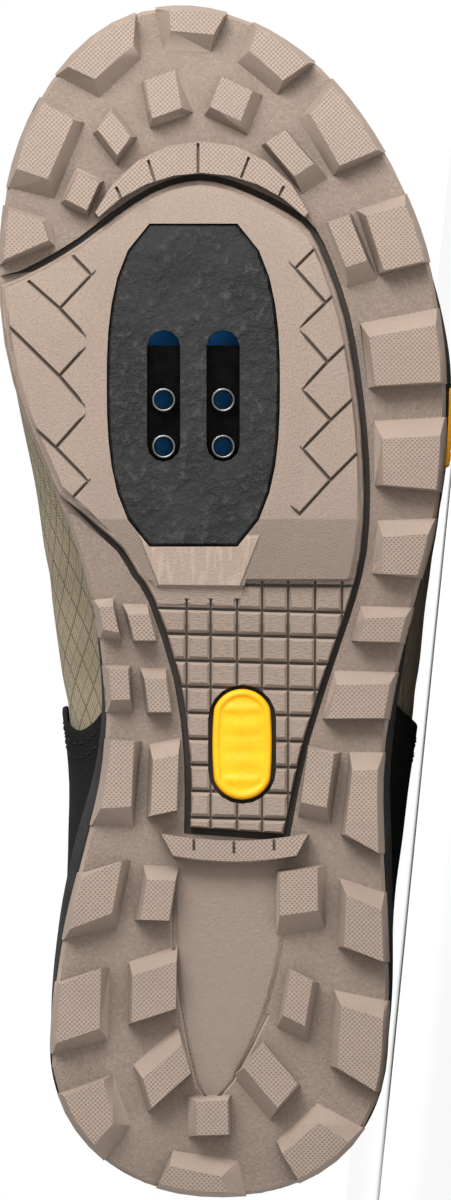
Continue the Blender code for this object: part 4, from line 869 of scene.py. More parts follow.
def sleeve_rings():
    """Lip as a small ring round each bore, and in the bore the thread."""
    points, faces, start = [], [], 0
    section = np.linspace(0, 2 * math.pi, 13)[None, :]
    deep = np.linspace(LIP_LEVEL, BORE_END, 52)[None, :]
    saw = np.abs((deep / PITCH - circle(AROUND)[:, None] / (2 * math.pi)) % 1.0 - 0.5) * 2
    lip = (LIP_RADIUS + 0.27 * np.cos(section)) * MM, (LIP_LEVEL - 0.24 * np.sin(section)) * MM
    thread = (BORE_RADIUS + 0.14 * saw) * MM, deep * MM
    for centre in SLEEVES:
        for radius, height in (lip, thread):
            grid = turned(centre, radius, height)
            points.append(grid.reshape(-1, 3))
            faces.append(grid_faces(*grid.shape[:2], wrap_rows=True) + start)
            start += len(points[-1])
    return np.concatenate(points), np.concatenate(faces)


sleeves = weld(new_piece("sleeve_threads", *sleeve_rings(), material=BRIGHT_STEEL))
dress(sleeves, "nut_steel")

# %% [markdown]
# ## Oval inset and side tab
#
# A plain yellow oval sits in a dark recess in the arch. It is a low cushion of rubber: its profile
# climbs from the rim over a small ledge to a slightly domed field with a few cross ribs.

# %% Yellow rubber pieces
def yellow(name, tone=1.0):
    """Smooth rubber in one strong yellow."""
    finish = Finish(name, 0.50, Coat_Weight=0.05, Coat_Roughness=0.35, Specular_IOR_Level=0.25)
    dark, light = shade((0.74, 0.320, 0.0005), tone), shade((0.80, 0.370, 0.0008), tone)
    finish.colour(finish.cloudy(160.0, 3.0, dark, light)[0])
    finish.bump((finish.noise(finish.place, 1500.0, 2.0), 0.00005))
    return finish.material


# Painted light: the side tab's yellow is the same yellow made 1.25 times lighter, against the shade it lies in.
YELLOW, TAB_YELLOW_PAINTED_LIGHT = yellow("rubber_yellow"), yellow("rubber_yellow_side_painted_light", 1.25)
OVAL_SPOT, RIB_PITCH = (-0.039 * BALL_WIDTH, 0.379 * SOLE_LENGTH), 4.2
OVAL_PROFILE = np.array([
    (0.1, 6.1), (0.0, 4.2), (0.15, 3.6), (0.6, 3.15), (1.3, 3.05), (1.6, 3.45), (1.9, 3.6), (2.6, 3.55),
    (3.4, 3.5), (4.2, 3.46), (5.0, 3.43), (5.8, 3.41), (6.6, 3.40), (6.99, 3.40)])


def oval_inset(half_length=13.0, half_width=7.0):
    """Ovals inside each other from the foot of the rim to the middle line: each one is a slot shape
    that shrinks by the profile's inset and stands at the profile's height, with ribs on the field."""
    inset, height = OVAL_PROFILE.T[:, None]
    angle, radius = circle(96)[:, None], half_width - inset
    x = radius * np.cos(angle)
    y = np.clip(np.sin(angle) * 3, -1, 1) * (half_length - half_width) + radius * np.sin(angle)
    rib = 0.35 * ease((inset - 1.9) / 0.7) * np.clip(1.6 * np.cos(2 * math.pi * y / RIB_PITCH), 0, 1)
    x, y = x * MM + OVAL_SPOT[0], y * MM + OVAL_SPOT[1]
    return np.stack([x, y, np.broadcast_to((height - rib) * MM, x.shape) + rise(y)], axis=-1)


dress(grid_piece("arch_oval", oval_inset(), YELLOW, wrap="rows"), "yellow_rubber", "arch_inset")

# %% [markdown]
# ## Midsole and footbed
#
# The midsole is a dark foam wedge in the rubber cup. It shows as a thin band between rubber and
# cloth. Both it and the blue footbed are rings round the sole's outline, one above the other, and a
# last ring that falls onto the middle line closes each end.

# %% Foam finishes
def foam(name, dark, light, scale):
    """Skinned foam: small soft pits and a cloudy tone."""
    finish = Finish(name, 0.88, Specular_IOR_Level=0.2)
    pits = finish.cells(finish.place, scale, "EUCLIDEAN", 1.0)
    finish.colour(finish.cloudy(120.0, 4.0, dark, light)[0])
    finish.bump((pits, 0.00012), (finish.noise(finish.place, 900.0, 3.0), 0.0001))
    return finish.material


DARK_FOAM = foam("foam_dark", (0.0120, 0.0112, 0.0110), (0.0230, 0.0215, 0.0210), 1400.0)
BLUE_FOAM = foam("foam_blue", (0.020, 0.20, 0.60), (0.040, 0.30, 0.80), 900.0)
print("foam finishes ready")

# %% [markdown]
# The foam flares over the rubber at the heel and the waist. Three columns give that flare along the
# sole for its inner and its outer side, as shares of the ball width.

# %% Rings round the sole
FLARE_AT = [0.0, 0.07, 0.13, 0.2, 0.3, 0.4, 0.5, 0.6, 0.68, 0.74, 0.80, 1.0]
FLARE_INNER = [-.008, -.004, .002, .012, .026, .012, .002, -.006, -.008, -.008, -.008, -.008]
FLARE_OUTER = [-.008, -.004, .004, .012, .020, .016, .004, .006, .014, .008, -.006, -.008]


def side_value(share, at, inner, outer):
    """Value of two columns, one for each side of the sole, as shares of the ball width."""
    along = edge_point(share)[..., 1] / SOLE_LENGTH
    return BALL_WIDTH * np.where(np.asarray(share) % 1.0 > 0.5, smooth(along, at, inner), smooth(along, at, outer))


def rim_level(y):
    """Top of the rubber rim over the tread."""
    along = np.asarray(y) / SOLE_LENGTH
    return RIM_TOP + (0.6 + 1.0 * ease((along - 0.5) / 0.2) + 2.4 * ease((along - 0.82) / 0.18)) * MM


def ring_stack(rings):
    """Closed body from rings of (plan points, heights): the two ends run on to the middle line in
    four steps, where each point meets the one on the other side."""
    stack = []
    for plan, z in rings:
        stack.append(np.column_stack([plan, np.broadcast_to(z, len(plan)) + rise(plan[:, 1])]))
    closed = []
    for ring in (stack[0], stack[-1]):
        middle = (ring + np.roll(ring[::-1], 1, axis=0)) / 2
        closed.append([ring + (middle - ring) * share for share in (0.25, 0.5, 0.75, 1.0)])
    return np.stack(closed[0][::-1] + stack + closed[1])


def box_prism(name, centre, half_width, half_length):
    """Upright box over a rectangle in plan, which cuts through the midsole."""
    signs = np.array([(-1, -1), (1, -1), (1, 1), (-1, 1)])
    return plan_prism(name, np.asarray(centre) + signs * np.array([half_width, half_length]), 5 * MM, 30 * MM)


print("rubber rim at the toe:", round(float(rim_level(SOLE_LENGTH)) / MM, 1), "mm over the tread")

# %% [markdown]
# Each row of the midsole's table is an inset from the outline, a share of the flare and a share of the
# climb from the rubber's rim to the foot. Boxes then cut the well behind the plate and the slots' ends.

# %% Midsole and footbed
share = np.arange(240) / 240
edge = edge_point(share)
flare = side_value(share, FLARE_AT, FLARE_INNER, FLARE_OUTER)
rim, foot = rim_level(edge[:, 1]) + 0.3 * MM, foot_level(edge[:, 1])
MIDSOLE_RINGS = [(2.9, 0, 0), (0, 0.2, 0), (0, 0.62, 0.25), (0, 0.95, 0.55), (0, 1, 0.75), (0.15, 1, 0.93),
                 (0.7, 1, 1)]
rings = [(edge_point(share, 2.9 * MM), 9.3 * MM)]
for inset, out, climb in MIDSOLE_RINGS:
    rings.append((edge_point(share, inset * MM - out * flare), rim + climb * (foot - rim)))
midsole = grid_piece("midsole_foam", ring_stack(rings), pose=False)
cuts = [("well", (PLATE_X, 0.644 * SOLE_LENGTH), 16.8 * MM, 19.8 * MM)]
cuts += [("end", (PLATE_X + side * 7 * MM, 202 * MM), 3.9 * MM, 2.6 * MM) for side in (-1, 1)]
for cut in cuts:
    combine(midsole, box_prism(*cut), "DIFFERENCE")
midsole.data.materials.clear()
midsole.data.materials.append(DARK_FOAM)
midsole.data.transform(REST)
midsole.data.shade_smooth()
midsole.data.set_sharp_from_angle(angle=math.radians(40))
dress(midsole, "midsole_foam", "midsole")

FOOTBED_RINGS = [(4.3, 0.3), (4.2, 1.5), (4.4, 3.0), (5.4, 3.4), (7.5, 3.1), (10.5, 2.9)]
rings = [(edge_point(share, inset * MM), foot + height * MM) for inset, height in FOOTBED_RINGS]
dress(grid_piece("footbed", ring_stack(rings), BLUE_FOAM), "insole_foam", "insole")

# %% [markdown]
# ## Side tab
#
# A plain yellow tab is glued to the foam's outer side, a little above the rubber rim. It is a short
# flat bar that follows the sole's outline, with rounded edges and a few notches across it, so one
# rounded section is carried along the outline's own shares.

# %% Side tab
TAB_ALONG, LOOP_LENGTH = 0.645, 668


def side_tab(length=19.2, height=3.4, out=1.65):
    """Rounded bar: each section is a superellipse between the outline and its outer face, at a level
    over the rim, and the bar closes at both ends."""
    shares = np.linspace(0.02, 0.48, 400)
    middle = np.interp(-TAB_ALONG, -edge_point(shares)[:, 1] / SOLE_LENGTH, shares)
    along, angle = np.linspace(-1, 1, 60)[:, None], circle(24)[None, :]
    ends = np.clip(1 - np.abs(along) ** 16, 0, 1) ** 0.5
    notch = 1 - 0.16 * np.clip(np.cos(along * math.pi * 7) * 4 - 3, 0, 1)
    across = blunt(np.cos(angle), 0.5) * ends * notch
    lift = blunt(np.sin(angle), 0.5) * ends
    share = middle + length / 2 / LOOP_LENGTH * along + 0 * angle
    plan = edge_point(share)
    outward = edge_point(share, -1.0) - plan
    plan = plan + outward * ((out / 2 - 0.4) + (out / 2 + 0.4) * across)[..., None] * MM
    z = rim_level(plan[..., 1]) + (2.9 + height / 2 * lift) * MM + rise(plan[..., 1])
    return np.concatenate([plan, z[..., None]], axis=-1)


tab = dress(grid_piece("side_tab_bar", side_tab(), TAB_YELLOW_PAINTED_LIGHT), "yellow_rubber", "side_tab")
print("tab reaches down to", round(read(tab.data.vertices, "co")[:, 2].min() / MM, 1), "mm")

# %% [markdown]
# ## The skin of the upper
#
# The upper is one smooth form pulled over a last. Two parameters describe it: run goes from heel to
# toe along the ridge, and way goes from the outer edge of the sole over the ridge to the inner edge.
# Each side climbs from the feather line, swells to its widest place and closes to the ridge along a
# superellipse. Cloth, counter, facing, tongue and laces are all offsets of this one skin.

# %% Upper skin
RUN_AT = [0, .2, .3, .4, .5, .6, .7, .8, .9, 1]
CROWN = [.92, .96, .92, .81, .685, .57, .47, .39, .325, .27]
WAIST = [.16, .17, .18, .19, .19, .18, .17, .18, .20, .22]
SQUARE = [1.9, 1.9, 1.9, 1.9, 1.95, 2.05, 2.2, 2.35, 2.45, 2.5]
SWELL_AT = [0, .15, .25, .30, .35, .40, .45, .50, .55, .60, .65, .70, .80, 1]
SWELL_INNER = [-.012, -.006, .012, .043, .074, .098, .108, .103, .084, .050, .020, .005, 0, -.004]
SWELL_OUTER = [-.012, .003, .020, .044, .062, .067, .058, .038, .022, .012, .004, .002, 0, -.004]
WAIST_SHARE = 0.30
INSTEP_HEIGHT, FEATHER = 100 * MM, 1 * MM


def skin(run, way):
    """Point of the skin: foot to widest place by a soft step, then a superellipse up to the ridge."""
    share = np.clip(np.where(way >= 0, 0.5 + run / 2, 0.5 - run / 2), 1e-6, 1 - 1e-6)
    foot = edge_point(share, FEATHER)
    wide = edge_point(share, FEATHER - side_value(share, SWELL_AT, SWELL_INNER, SWELL_OUTER))
    ridge_along = 0.125 + 0.74 * run
    ridge_x = BALL_WIDTH * (smooth(ridge_along, ALONG, CENTRE) + 0.03 * ease(run * 2))
    ridge = np.stack([ridge_x + 0 * way, ridge_along * SOLE_LENGTH + 0 * way], axis=-1)
    crown = INSTEP_HEIGHT * smooth(run, RUN_AT, CROWN)
    waist = crown * smooth(run, RUN_AT, WAIST)
    power = 2 / smooth(run, RUN_AT, SQUARE)
    climb = 1 - np.abs(way)
    low = np.clip(climb / WAIST_SHARE, 0, 1)
    turn = np.clip((climb - WAIST_SHARE) / (1 - WAIST_SHARE), 0, 1) * math.pi / 2
    out, up = np.clip(np.cos(turn), 0, 1) ** power, np.clip(np.sin(turn), 0, 1) ** power
    plan = foot + (wide - foot) * ease(low)[..., None]
    plan = np.where((climb > WAIST_SHARE)[..., None], ridge + (wide - ridge) * out[..., None], plan)
    z = foot_level(foot[..., 1]) + 0.3 * MM + waist * low + (crown - waist) * up + rise(plan[..., 1])
    return np.concatenate([plan, z[..., None]], axis=-1)


def skin_normal(run, way):
    """Outward direction of the skin from two small steps, kept level at the feather line."""
    e = 1e-3
    along = skin(np.clip(run + e, 0, 1), way) - skin(np.clip(run - e, 0, 1), way)
    around = skin(run, np.clip(way + e, -1, 1)) - skin(run, np.clip(way - e, -1, 1))
    normal = -np.cross(along, around)
    normal[..., 2] *= np.clip((1 - np.abs(way)) * 10, 0, 1)
    return normal / np.maximum(np.linalg.norm(normal, axis=-1)[..., None], 1e-12)


def crease(run, way):
    """Soft flex creases over the ball: three shallow troughs across the vamp that fade to the sides,
    and two slanting ones in the quarters."""
    ball = sum(depth * np.exp(-((run - at - 0.05 * np.abs(way)) / 0.011) ** 2)
               for at, depth in ((0.765, 0.55), (0.800, 0.70), (0.838, 0.45)))
    ball = ball * np.clip(1.15 - np.abs(way), 0, 1) * ease(np.abs(way) * 8 + 0.4)
    quarter = 0.5 * np.exp(-((run - 0.55 + 0.22 * (np.abs(way) - 0.6)) / 0.014) ** 2)
    quarter += 0.4 * np.exp(-((run - 0.46 + 0.30 * (np.abs(way) - 0.6)) / 0.013) ** 2)
    quarter = quarter * np.exp(-((np.abs(way) - 0.62) / 0.16) ** 2)
    return -(ball + quarter) * MM


def on_skin(run, way, offset=0.0, creased=False):
    """Points at an offset from the skin, with or without the creases."""
    run, way = np.broadcast_arrays(np.asarray(run, dtype=float), np.asarray(way, dtype=float))
    lift = np.asarray(offset) + (crease(run, way) if creased else 0.0)
    return skin(run, way) + np.broadcast_to(lift, run.shape)[..., None] * skin_normal(run, way)


print("ridge at half run:", np.round(skin(np.array(0.5), np.array(0.0)) / MM, 1), "mm")

# %% [markdown]
# ## Openings of the upper
#
# The cloth ends at the collar and at the throat. For each run, the highest place that is still cloth
# is the larger of two shares: where the side meets the collar's rim, and half the throat's width.

# %% Collar and throat
COLLAR_AT = [-.10, 0, .04, .12, .20, .27, .34, .41, .46, .50]
COLLAR_RIM = [1.02, 1.00, .97, .87, .81, .81, .88, 1.02, 1.17, 1.32]
COLLAR_HEIGHT = 87 * MM
THROAT_TOE, THROAT_HALF, THROAT_ROUND = 0.735, 0.155, 0.05
SKIN_LENGTH, SKIN_WIDTH = 20.8, 9.6
WALL, LAYER, LAYER_LIFT, STITCH_LIFT = 2 * MM, 1.15 * MM, 1.5 * MM, 1.6 * MM


def throat_share(run):
    """Half width of the throat as a share of the way round, closed by a quarter ellipse at its toe end."""
    end = np.clip((run - THROAT_TOE + THROAT_ROUND) / THROAT_ROUND, 0, 1)
    return THROAT_HALF * np.sqrt(1 - end ** 2)


def collar_share(run, side):
    """Share of the way round where the side passes the collar's rim: the skin is sampled from ridge
    to sole and the first sample under the rim is refined by the height left over."""
    run = np.atleast_1d(run)[:, None]
    way = np.linspace(0, 1, 400)[None, :]
    spot = skin(run + 0 * way, side * way + 0 * run)
    over = spot[..., 2] - COLLAR_HEIGHT * smooth(spot[..., 1] / SOLE_LENGTH, COLLAR_AT, COLLAR_RIM)
    first = np.argmax(over <= 0, axis=1)
    pick = np.arange(len(run))
    before = np.maximum(first - 1, 0)
    gap = over[pick, before] - over[pick, first]
    part = np.where(first > 0, over[pick, before] / np.where(gap == 0, 1, gap), 0)
    return np.where(first > 0, way[0, before] + part * (way[0, 1] - way[0, 0]), 0.0)


def top_share(run, side):
    """The larger of the collar's and the throat's share, with a rounded corner where they meet:
    the half of a + b + the root of (a - b) squared plus a small number squared."""
    run = np.atleast_1d(run)
    collar, throat = collar_share(run, side), throat_share(run)
    blend = 0.10 * ease((0.56 - run) / 0.10)
    return np.minimum((collar + throat + np.sqrt((collar - throat) ** 2 + blend ** 2)) / 2, 0.97)


def skin_map(run, way):
    """Map of a piece on the skin, in centimetres of cloth."""
    return np.stack([run * SKIN_LENGTH, way * SKIN_WIDTH], axis=-1)


print("collar at the heel:", round(float(collar_share(0.0, 1)[0]), 3), "of the way from ridge to sole")

# %% [markdown]
# ## Cloths
#
# The quarters are a khaki ripstop: a fine plain weave with thicker threads that cross it in a
# diagonal grid every few millimetres. The heel is a smooth black cloth. The patterns lie on each
# piece's own map, so they follow the form as woven cloth does.

# %% Cloth finishes
def ripstop():
    """Khaki plain weave with a raised grid of thicker threads."""
    finish = Finish("cloth_khaki", 0.88, Sheen_Weight=0.15, Sheen_Roughness=0.5)
    slanted = finish.turned(finish.uv, 38.0)
    grid = finish.spread(finish.cells(slanted, 3.7), 0.425, 0.475)
    warp, weft = (finish.stripes(slanted, 5.2, axis) for axis in "XY")
    speck = finish.noise(finish.place, 2400.0, 2.0)
    valley = (0.150, 0.122, 0.072)
    base = finish.cloudy(70.0, 4.0, (0.205, 0.158, 0.088), (0.258, 0.200, 0.115))[0]
    finish.colour(finish.tinted(base, (valley, warp, 0.0, 0.5, 0.35, 0.0), (valley, weft, 0.0, 0.5, 0.30, 0.0),
                                ((0.13, 0.11, 0.065), speck, 0.45, 0.8, 0.0, 0.4),
                                ((0.105, 0.085, 0.048), grid, 0.0, 1.0, 0.0, 0.55)))
    finish.bump((warp, 0.0001), (weft, 0.0001), (grid, 0.00025), (speck, 0.0001))
    return finish.material


def woven(name, dark, light, scale=9.0, sheen=0.2):
    """Close plain weave in one dark tone."""
    finish = Finish(name, 0.88, Sheen_Weight=sheen, Sheen_Roughness=0.45, Specular_IOR_Level=0.12)
    warp, weft = (finish.stripes(finish.uv, scale, axis) for axis in "XY")
    lint = finish.noise(finish.place, 1500.0, 3.0)
    base = finish.cloudy(60.0, 5.0, dark, light)[0]
    finish.colour(finish.tinted(base, (shade(light, 2.2), lint, 0.58, 0.75, 0.0, 0.35)))
    finish.bump((warp, 0.00008), (weft, 0.00008), (lint, 0.00006))
    return finish.material


KHAKI = ripstop()
BLACK = woven("cloth_black", (0.0070, 0.0066, 0.0062), (0.0130, 0.0122, 0.0115), sheen=0.0)
LINING = woven("cloth_lining", (0.022, 0.022, 0.023), (0.040, 0.039, 0.040), 5.0, 0.1)
FACING = woven("cloth_facing", (0.010, 0.0095, 0.0092), (0.018, 0.017, 0.0165), 7.0, 0.08)
THREAD = woven("thread_black", (0.013, 0.0125, 0.012), (0.024, 0.023, 0.022), 30.0, 0.0)
LACE = woven("lace_weave", (0.050, 0.046, 0.040), (0.090, 0.083, 0.072), 6.0)
print("cloth finishes ready")

# %% [markdown]
# The shell is a grid that goes once round the sole and climbs from the feather line to the opening's
# edge. A Solidify modifier gives each sheet its thickness, with the lining's finish inside.

# %% Khaki shell
def sheet_piece(name, grid, uv, material, thickness, lining=None, wrap=False):
    """Sheet on the skin, turned outwards and given its thickness inwards."""
    faces = grid_faces(*grid.shape[:2], wrap_rows=wrap)
    corners = grid.reshape(-1, 3)[faces]
    normal = np.cross(corners[:, 1] - corners[:, 0], corners[:, 2] - corners[:, 0])
    middle = corners.mean(axis=1)
    axis = np.column_stack([0 * middle[:, 0], np.clip(middle[:, 1], 0.05, 0.23), 0 * middle[:, 2] + 0.03])
    if np.sum(normal * (middle - axis)) < 0:
        faces = faces[:, ::-1]
    piece = new_piece(name, grid, faces, uv, material)
    weld(piece, 0.01 * MM, turn_out=False)
    if lining:
        piece.data.materials.append(lining)
    modifier(piece, "SOLIDIFY", thickness=thickness, offset=-1.0, use_even_offset=True,
             material_offset=1 if lining else 0, material_offset_rim=0)
    return piece


def shell():
    """Columns go once round the sole, rows climb from the feather line to the opening's edge."""
    run = np.unique(np.round(np.concatenate([np.linspace(0, 1, 105), np.linspace(0.68, THROAT_TOE, 14)]), 6))
    loop = np.concatenate([run[::-1], run[1:-1]])
    side = np.concatenate([-np.ones(len(run)), np.ones(len(run) - 2)])
    top = np.where(side > 0, top_share(loop, 1), top_share(loop, -1))
    climb = np.linspace(0, 1, 49)[None, :]
    way = side[:, None] * (1 - climb * (1 - top[:, None]))
    runs = loop[:, None] + 0 * way
    return on_skin(runs, way, creased=True), skin_map(runs, way)


upper = sheet_piece("upper_cloth", *shell(), KHAKI, WALL, LINING, wrap=True)
dress(upper, "khaki_cloth", "upper")

# %% [markdown]
# ## Heel counter
#
# A black cloth piece wraps the heel over the khaki. Its front edge leans back as it climbs, and two
# rows of stitches follow that edge. The sheet's columns go from one front edge round the heel to the
# other, and each row ends where the skin meets the edge's line.

# %% Heel counter
FRONT_HEIGHT = [-.20, .26, .36, .46, .54, .64, .74, 1.00]
FRONT_ALONG = {1: [.415, .410, .390, .408, .405, .330, .250, .200],
               -1: [.430, .418, .402, .388, .372, .315, .245, .200]}


def front_run(climb, side):
    """Run where the counter's front edge crosses each row: skin samples are read from the heel
    forwards until their length passes that of the edge at the same height."""
    run = np.linspace(0, 0.62, 320)
    top = top_share(run, side)
    way = side * (1 - climb[:, None] * (1 - top[None, :]))
    spot = skin(run[None, :] + 0 * way, way)
    ahead = spot[..., 1] / SOLE_LENGTH - smooth(spot[..., 2] / COLLAR_HEIGHT, FRONT_HEIGHT, FRONT_ALONG[side])
    first = np.maximum(np.argmax(ahead > 0, axis=1), 1)
    pick = np.arange(len(climb))
    before, after = ahead[pick, first - 1], ahead[pick, first]
    return run[first - 1] + (run[1] - run[0]) * (-before / (after - before))


CLIMB = np.linspace(0, 1, 41)
FRONT = {side: front_run(CLIMB, side) for side in (-1, 1)}


def counter_points(across, offset):
    """Points of the counter for shares across it, from -1 at the outer front edge to 1 at the inner."""
    across = np.asarray(across, dtype=float)
    side = np.where(across >= 0, 1, -1)[:, None]
    run = np.abs(across)[:, None] * np.where(side > 0, FRONT[1][None, :], FRONT[-1][None, :])
    tops = [top_share(run.ravel(), hand).reshape(run.shape) for hand in (1, -1)]
    way = side * (1 - CLIMB[None, :] * (1 - np.where(side > 0, *tops)))
    return on_skin(run, way, offset), skin_map(run * np.sign(way), way)


counter = sheet_piece("heel_cloth", *counter_points(np.linspace(-1, 1, 121), LAYER_LIFT), BLACK, LAYER)
round_edges(counter, 0.3 * MM)
dress(counter, "black_cloth", "heel_counter")

# %% [markdown]
# ## Facing, eyelets and tongue
#
# The facing is a band round the throat that carries the eyelets. Its inner and outer outlines are
# the same curve in two sizes, and the sheet fills the space between. Under it lies the tongue, a
# padded strip with rounded sides.

# %% Facing
def facing():
    """Blend between the throat's outline and a wider one, from the top of one side round the toe end
    to the top of the other."""
    start = THROAT_TOE - THROAT_ROUND
    straight = np.linspace(0.425, start, 34)
    turn = np.sin(np.linspace(0, math.pi / 2, 14)[1:])
    inner_run = np.concatenate([straight, start + THROAT_ROUND * turn])
    outer_run = np.concatenate([straight, start + 2 * THROAT_ROUND * turn + 0.045 * turn ** 6])
    rows = []
    for side in (1, -1):
        inner = top_share(inner_run, side)
        outer = (THROAT_HALF + 0.14) * np.sqrt(1 - np.concatenate([0 * straight, turn]) ** 2)
        outer = np.maximum(outer, np.minimum(inner + 0.05, 0.9) * (outer_run < 0.6))
        blend = np.linspace(0, 1, 11)[None, :]
        run = inner_run[:, None] * (1 - blend) + outer_run[:, None] * blend
        way = side * (inner[:, None] * (1 - blend) + outer[:, None] * blend)
        rows.append((run, way) if side > 0 else (run[::-1][1:], way[::-1][1:]))
    return np.vstack([rows[0][0], rows[1][0]]), np.vstack([rows[0][1], rows[1][1]])


run, way = facing()
band = sheet_piece("facing_band", on_skin(run, way, LAYER_LIFT), skin_map(run, way), FACING, LAYER)
round_edges(band, 0.3 * MM)
dress(band, "facing", "eyestay")

# %% [markdown]
# An eyelet is a rolled ring of dark steel. Ten rings are one grid each, turned about the skin's normal
# at five places on each side of the throat.

# %% Eyelets
RING_STEPS, SECTION_STEPS = 32, 12
EYELET_WAY = THROAT_HALF + 0.075
PLACES = [(run, side * EYELET_WAY) for run in np.linspace(0.700, 0.465, 5) for side in (-1, 1)]


def rolled_rings():
    """Rolled ring at each eyelet: an oval profile turned about the skin's normal."""
    run, way = (np.array(values) for values in zip(*PLACES))
    normal = skin_normal(run, way)
    seat = skin(run, way) + 1.95 * MM * normal
    first = unit(np.cross(normal, [0.0, 0.0, 1.0]))
    second = np.cross(normal, first)
    angle, section = circle(RING_STEPS)[None, :, None, None], circle(SECTION_STEPS)[None, None, :, None]
    radius, height = (3.05 + 0.93 * np.cos(section)) * MM, (0.42 + 0.52 * np.sin(section)) * MM
    spread = np.cos(angle) * first[:, None, None, :] + np.sin(angle) * second[:, None, None, :]
    return seat[:, None, None, :] + radius * spread + height * normal[:, None, None, :]


faces = repeated(grid_faces(RING_STEPS, SECTION_STEPS, True, True), RING_STEPS * SECTION_STEPS, len(PLACES))
eyelets = weld(new_piece("eyelet_rings", rolled_rings(), faces, material=DARK_STEEL))
dress(eyelets, "eyelet_steel", *[f"eyelet_{k + 1:02d}" for k in range(len(PLACES))])

# %% [markdown]
# The tongue is a pillow that bulges over its filling, with a few sewn channels at its top. It runs
# under the facing from the collar down to the throat's toe end.

# %% Tongue
TONGUE_TOP, TONGUE_END, CHANNELS = 0.335, 0.772, (0.10, 0.16, 0.22, 0.28)


def tongue_form(rows=90, around=36):
    """Pillow carried along the ridge: its section is a flat superellipse that shrinks at both ends,
    with a trough for each sewn channel."""
    share, angle = np.linspace(0, 1, rows)[:, None], circle(around)[None, :]
    run = TONGUE_TOP + (TONGUE_END - TONGUE_TOP) * share + 0 * angle
    end = np.sqrt(np.clip(1 - np.abs(2 * share - 1) ** 14, 0, 1))
    corner = np.sqrt(np.clip(1 - np.clip((0.10 - share) / 0.10, 0, 1) ** 2.2, 0, 1))
    channel = 1 - 0.42 * sum(np.exp(-((share - at) / 0.010) ** 2) for at in CHANNELS)
    way = 0.228 * corner * np.maximum(end, 0.02) * blunt(np.cos(angle), 0.62)
    lift = -4.75 + 2.05 * end * channel * blunt(np.sin(angle), 0.62)
    points = on_skin(run, way, lift * MM)
    points[[0, -1]] = points[[0, -1]].mean(axis=1, keepdims=True)
    return points, skin_map(run, way)


grid, uv = tongue_form()
tongue = grid_piece("tongue_pad", grid, LINING, uv)
dress(tongue, "tongue_cloth", "tongue")

# %% [markdown]
# The collar ends in a soft roll round the ankle: a padded tube that follows the rim.

# %% Collar roll
CM = 10 * MM


def tube(path, normal, radius_out, radius_side, steps=14):
    """Oval section carried along a path, with its long axis on the given normals and closed ends."""
    way = unit(np.gradient(path, axis=0))
    across = unit(np.cross(way, normal))
    out = np.cross(across, way)
    angle = circle(steps)
    ends = np.sqrt(np.clip(1 - np.linspace(-1, 1, len(path)) ** 40, 0, 1))[:, None, None]
    grid = (path[:, None] + ends * (np.cos(angle)[None, :, None] * across[:, None] * radius_side
                                    + np.sin(angle)[None, :, None] * out[:, None] * radius_out))
    uv = np.stack(np.broadcast_arrays(travel(path)[:, None], angle[None, :] * radius_side), axis=-1) / CM
    return grid, uv


def collar_path():
    """Rim of the collar from the outer throat corner round the heel to the inner one."""
    run, paths = np.linspace(0, 0.452, 72), []
    for side in (-1, 1):
        way = side * top_share(run, side)
        paths.append((on_skin(run, way, -0.9 * MM), skin_normal(run, way)))
    return [np.concatenate([outer[::-1], inner[1:]]) for outer, inner in zip(*paths)]


grid, uv = tube(*collar_path(), 2.7 * MM, 1.9 * MM)
collar = grid_piece("collar_roll", grid, LINING, uv)
dress(collar, "black_cloth")

# %% [markdown]
# ## Laces
#
# One flat lace closes the throat. It starts as a straight bar at the toe end and then crosses from
# row to row up to the last eyelets, where it goes inside. Each crossing is a flat woven strip: it
# rises out of an eyelet, lies over the facing, passes over or under its partner at the middle, and
# dives into the next eyelet.

# %% Laces
LACE_STEPS, LACE_SECTION, HALF_LACE = 49, 16, 0.25


def lace_strip(start, end, over):
    """Flat oval section carried from eyelet to eyelet: height over the skin is a soft hump, with a
    small rise or dip at the crossing, and the strip gathers to the eyelet's bore at both ends."""
    share, angle = np.linspace(0, 1, LACE_STEPS)[:, None], circle(LACE_SECTION)[None, :]
    (run_a, way_a), (run_b, way_b) = start, end
    length = np.array([(run_b - run_a) * SKIN_LENGTH, (way_b - way_a) * SKIN_WIDTH])
    heading = length / np.linalg.norm(length)
    near = np.minimum(share, 1 - share)
    gather = 0.62 + 0.38 * ease(near / 0.14)
    flat = blunt(np.cos(angle), 0.7)
    sideways = HALF_LACE * gather * flat
    run = run_a + (run_b - run_a) * share - sideways * heading[1] / SKIN_LENGTH
    way = way_a + (way_b - way_a) * share + sideways * heading[0] / SKIN_WIDTH
    lift = 0.6 + 3.35 * ease(near / 0.12) + over * np.exp(-((share - 0.5) / 0.10) ** 2)
    lift = lift + (0.52 + 0.10 * np.cos(5 * math.pi * flat)) * np.sin(angle) * (0.8 + 0.2 * gather)
    uv = np.stack(np.broadcast_arrays(share * np.linalg.norm(length), HALF_LACE * flat), axis=-1)
    return on_skin(run, way, lift * MM), uv


crossings = [(PLACES[0], PLACES[1], 0.0)]
for row in range(4):
    left, right, next_left, next_right = PLACES[2 * row:2 * row + 4]
    crossings += [(left, next_right, 0.75), (right, next_left, -0.55)]
grids, maps = (np.stack(arrays) for arrays in zip(*(lace_strip(*crossing) for crossing in crossings)))
lengths = [travel(grid.mean(axis=1))[-1] / MM for grid in grids]
print("crossings:", np.round(lengths), "mm, together", round(sum(lengths)), "mm")
cell = grid_faces(LACE_STEPS, LACE_SECTION, wrap_columns=True)
faces = repeated(cell, LACE_STEPS * LACE_SECTION, len(crossings))
dress(weld(new_piece("lace_crossings", grids, faces, maps, LACE)), "lace_cord", "lace")

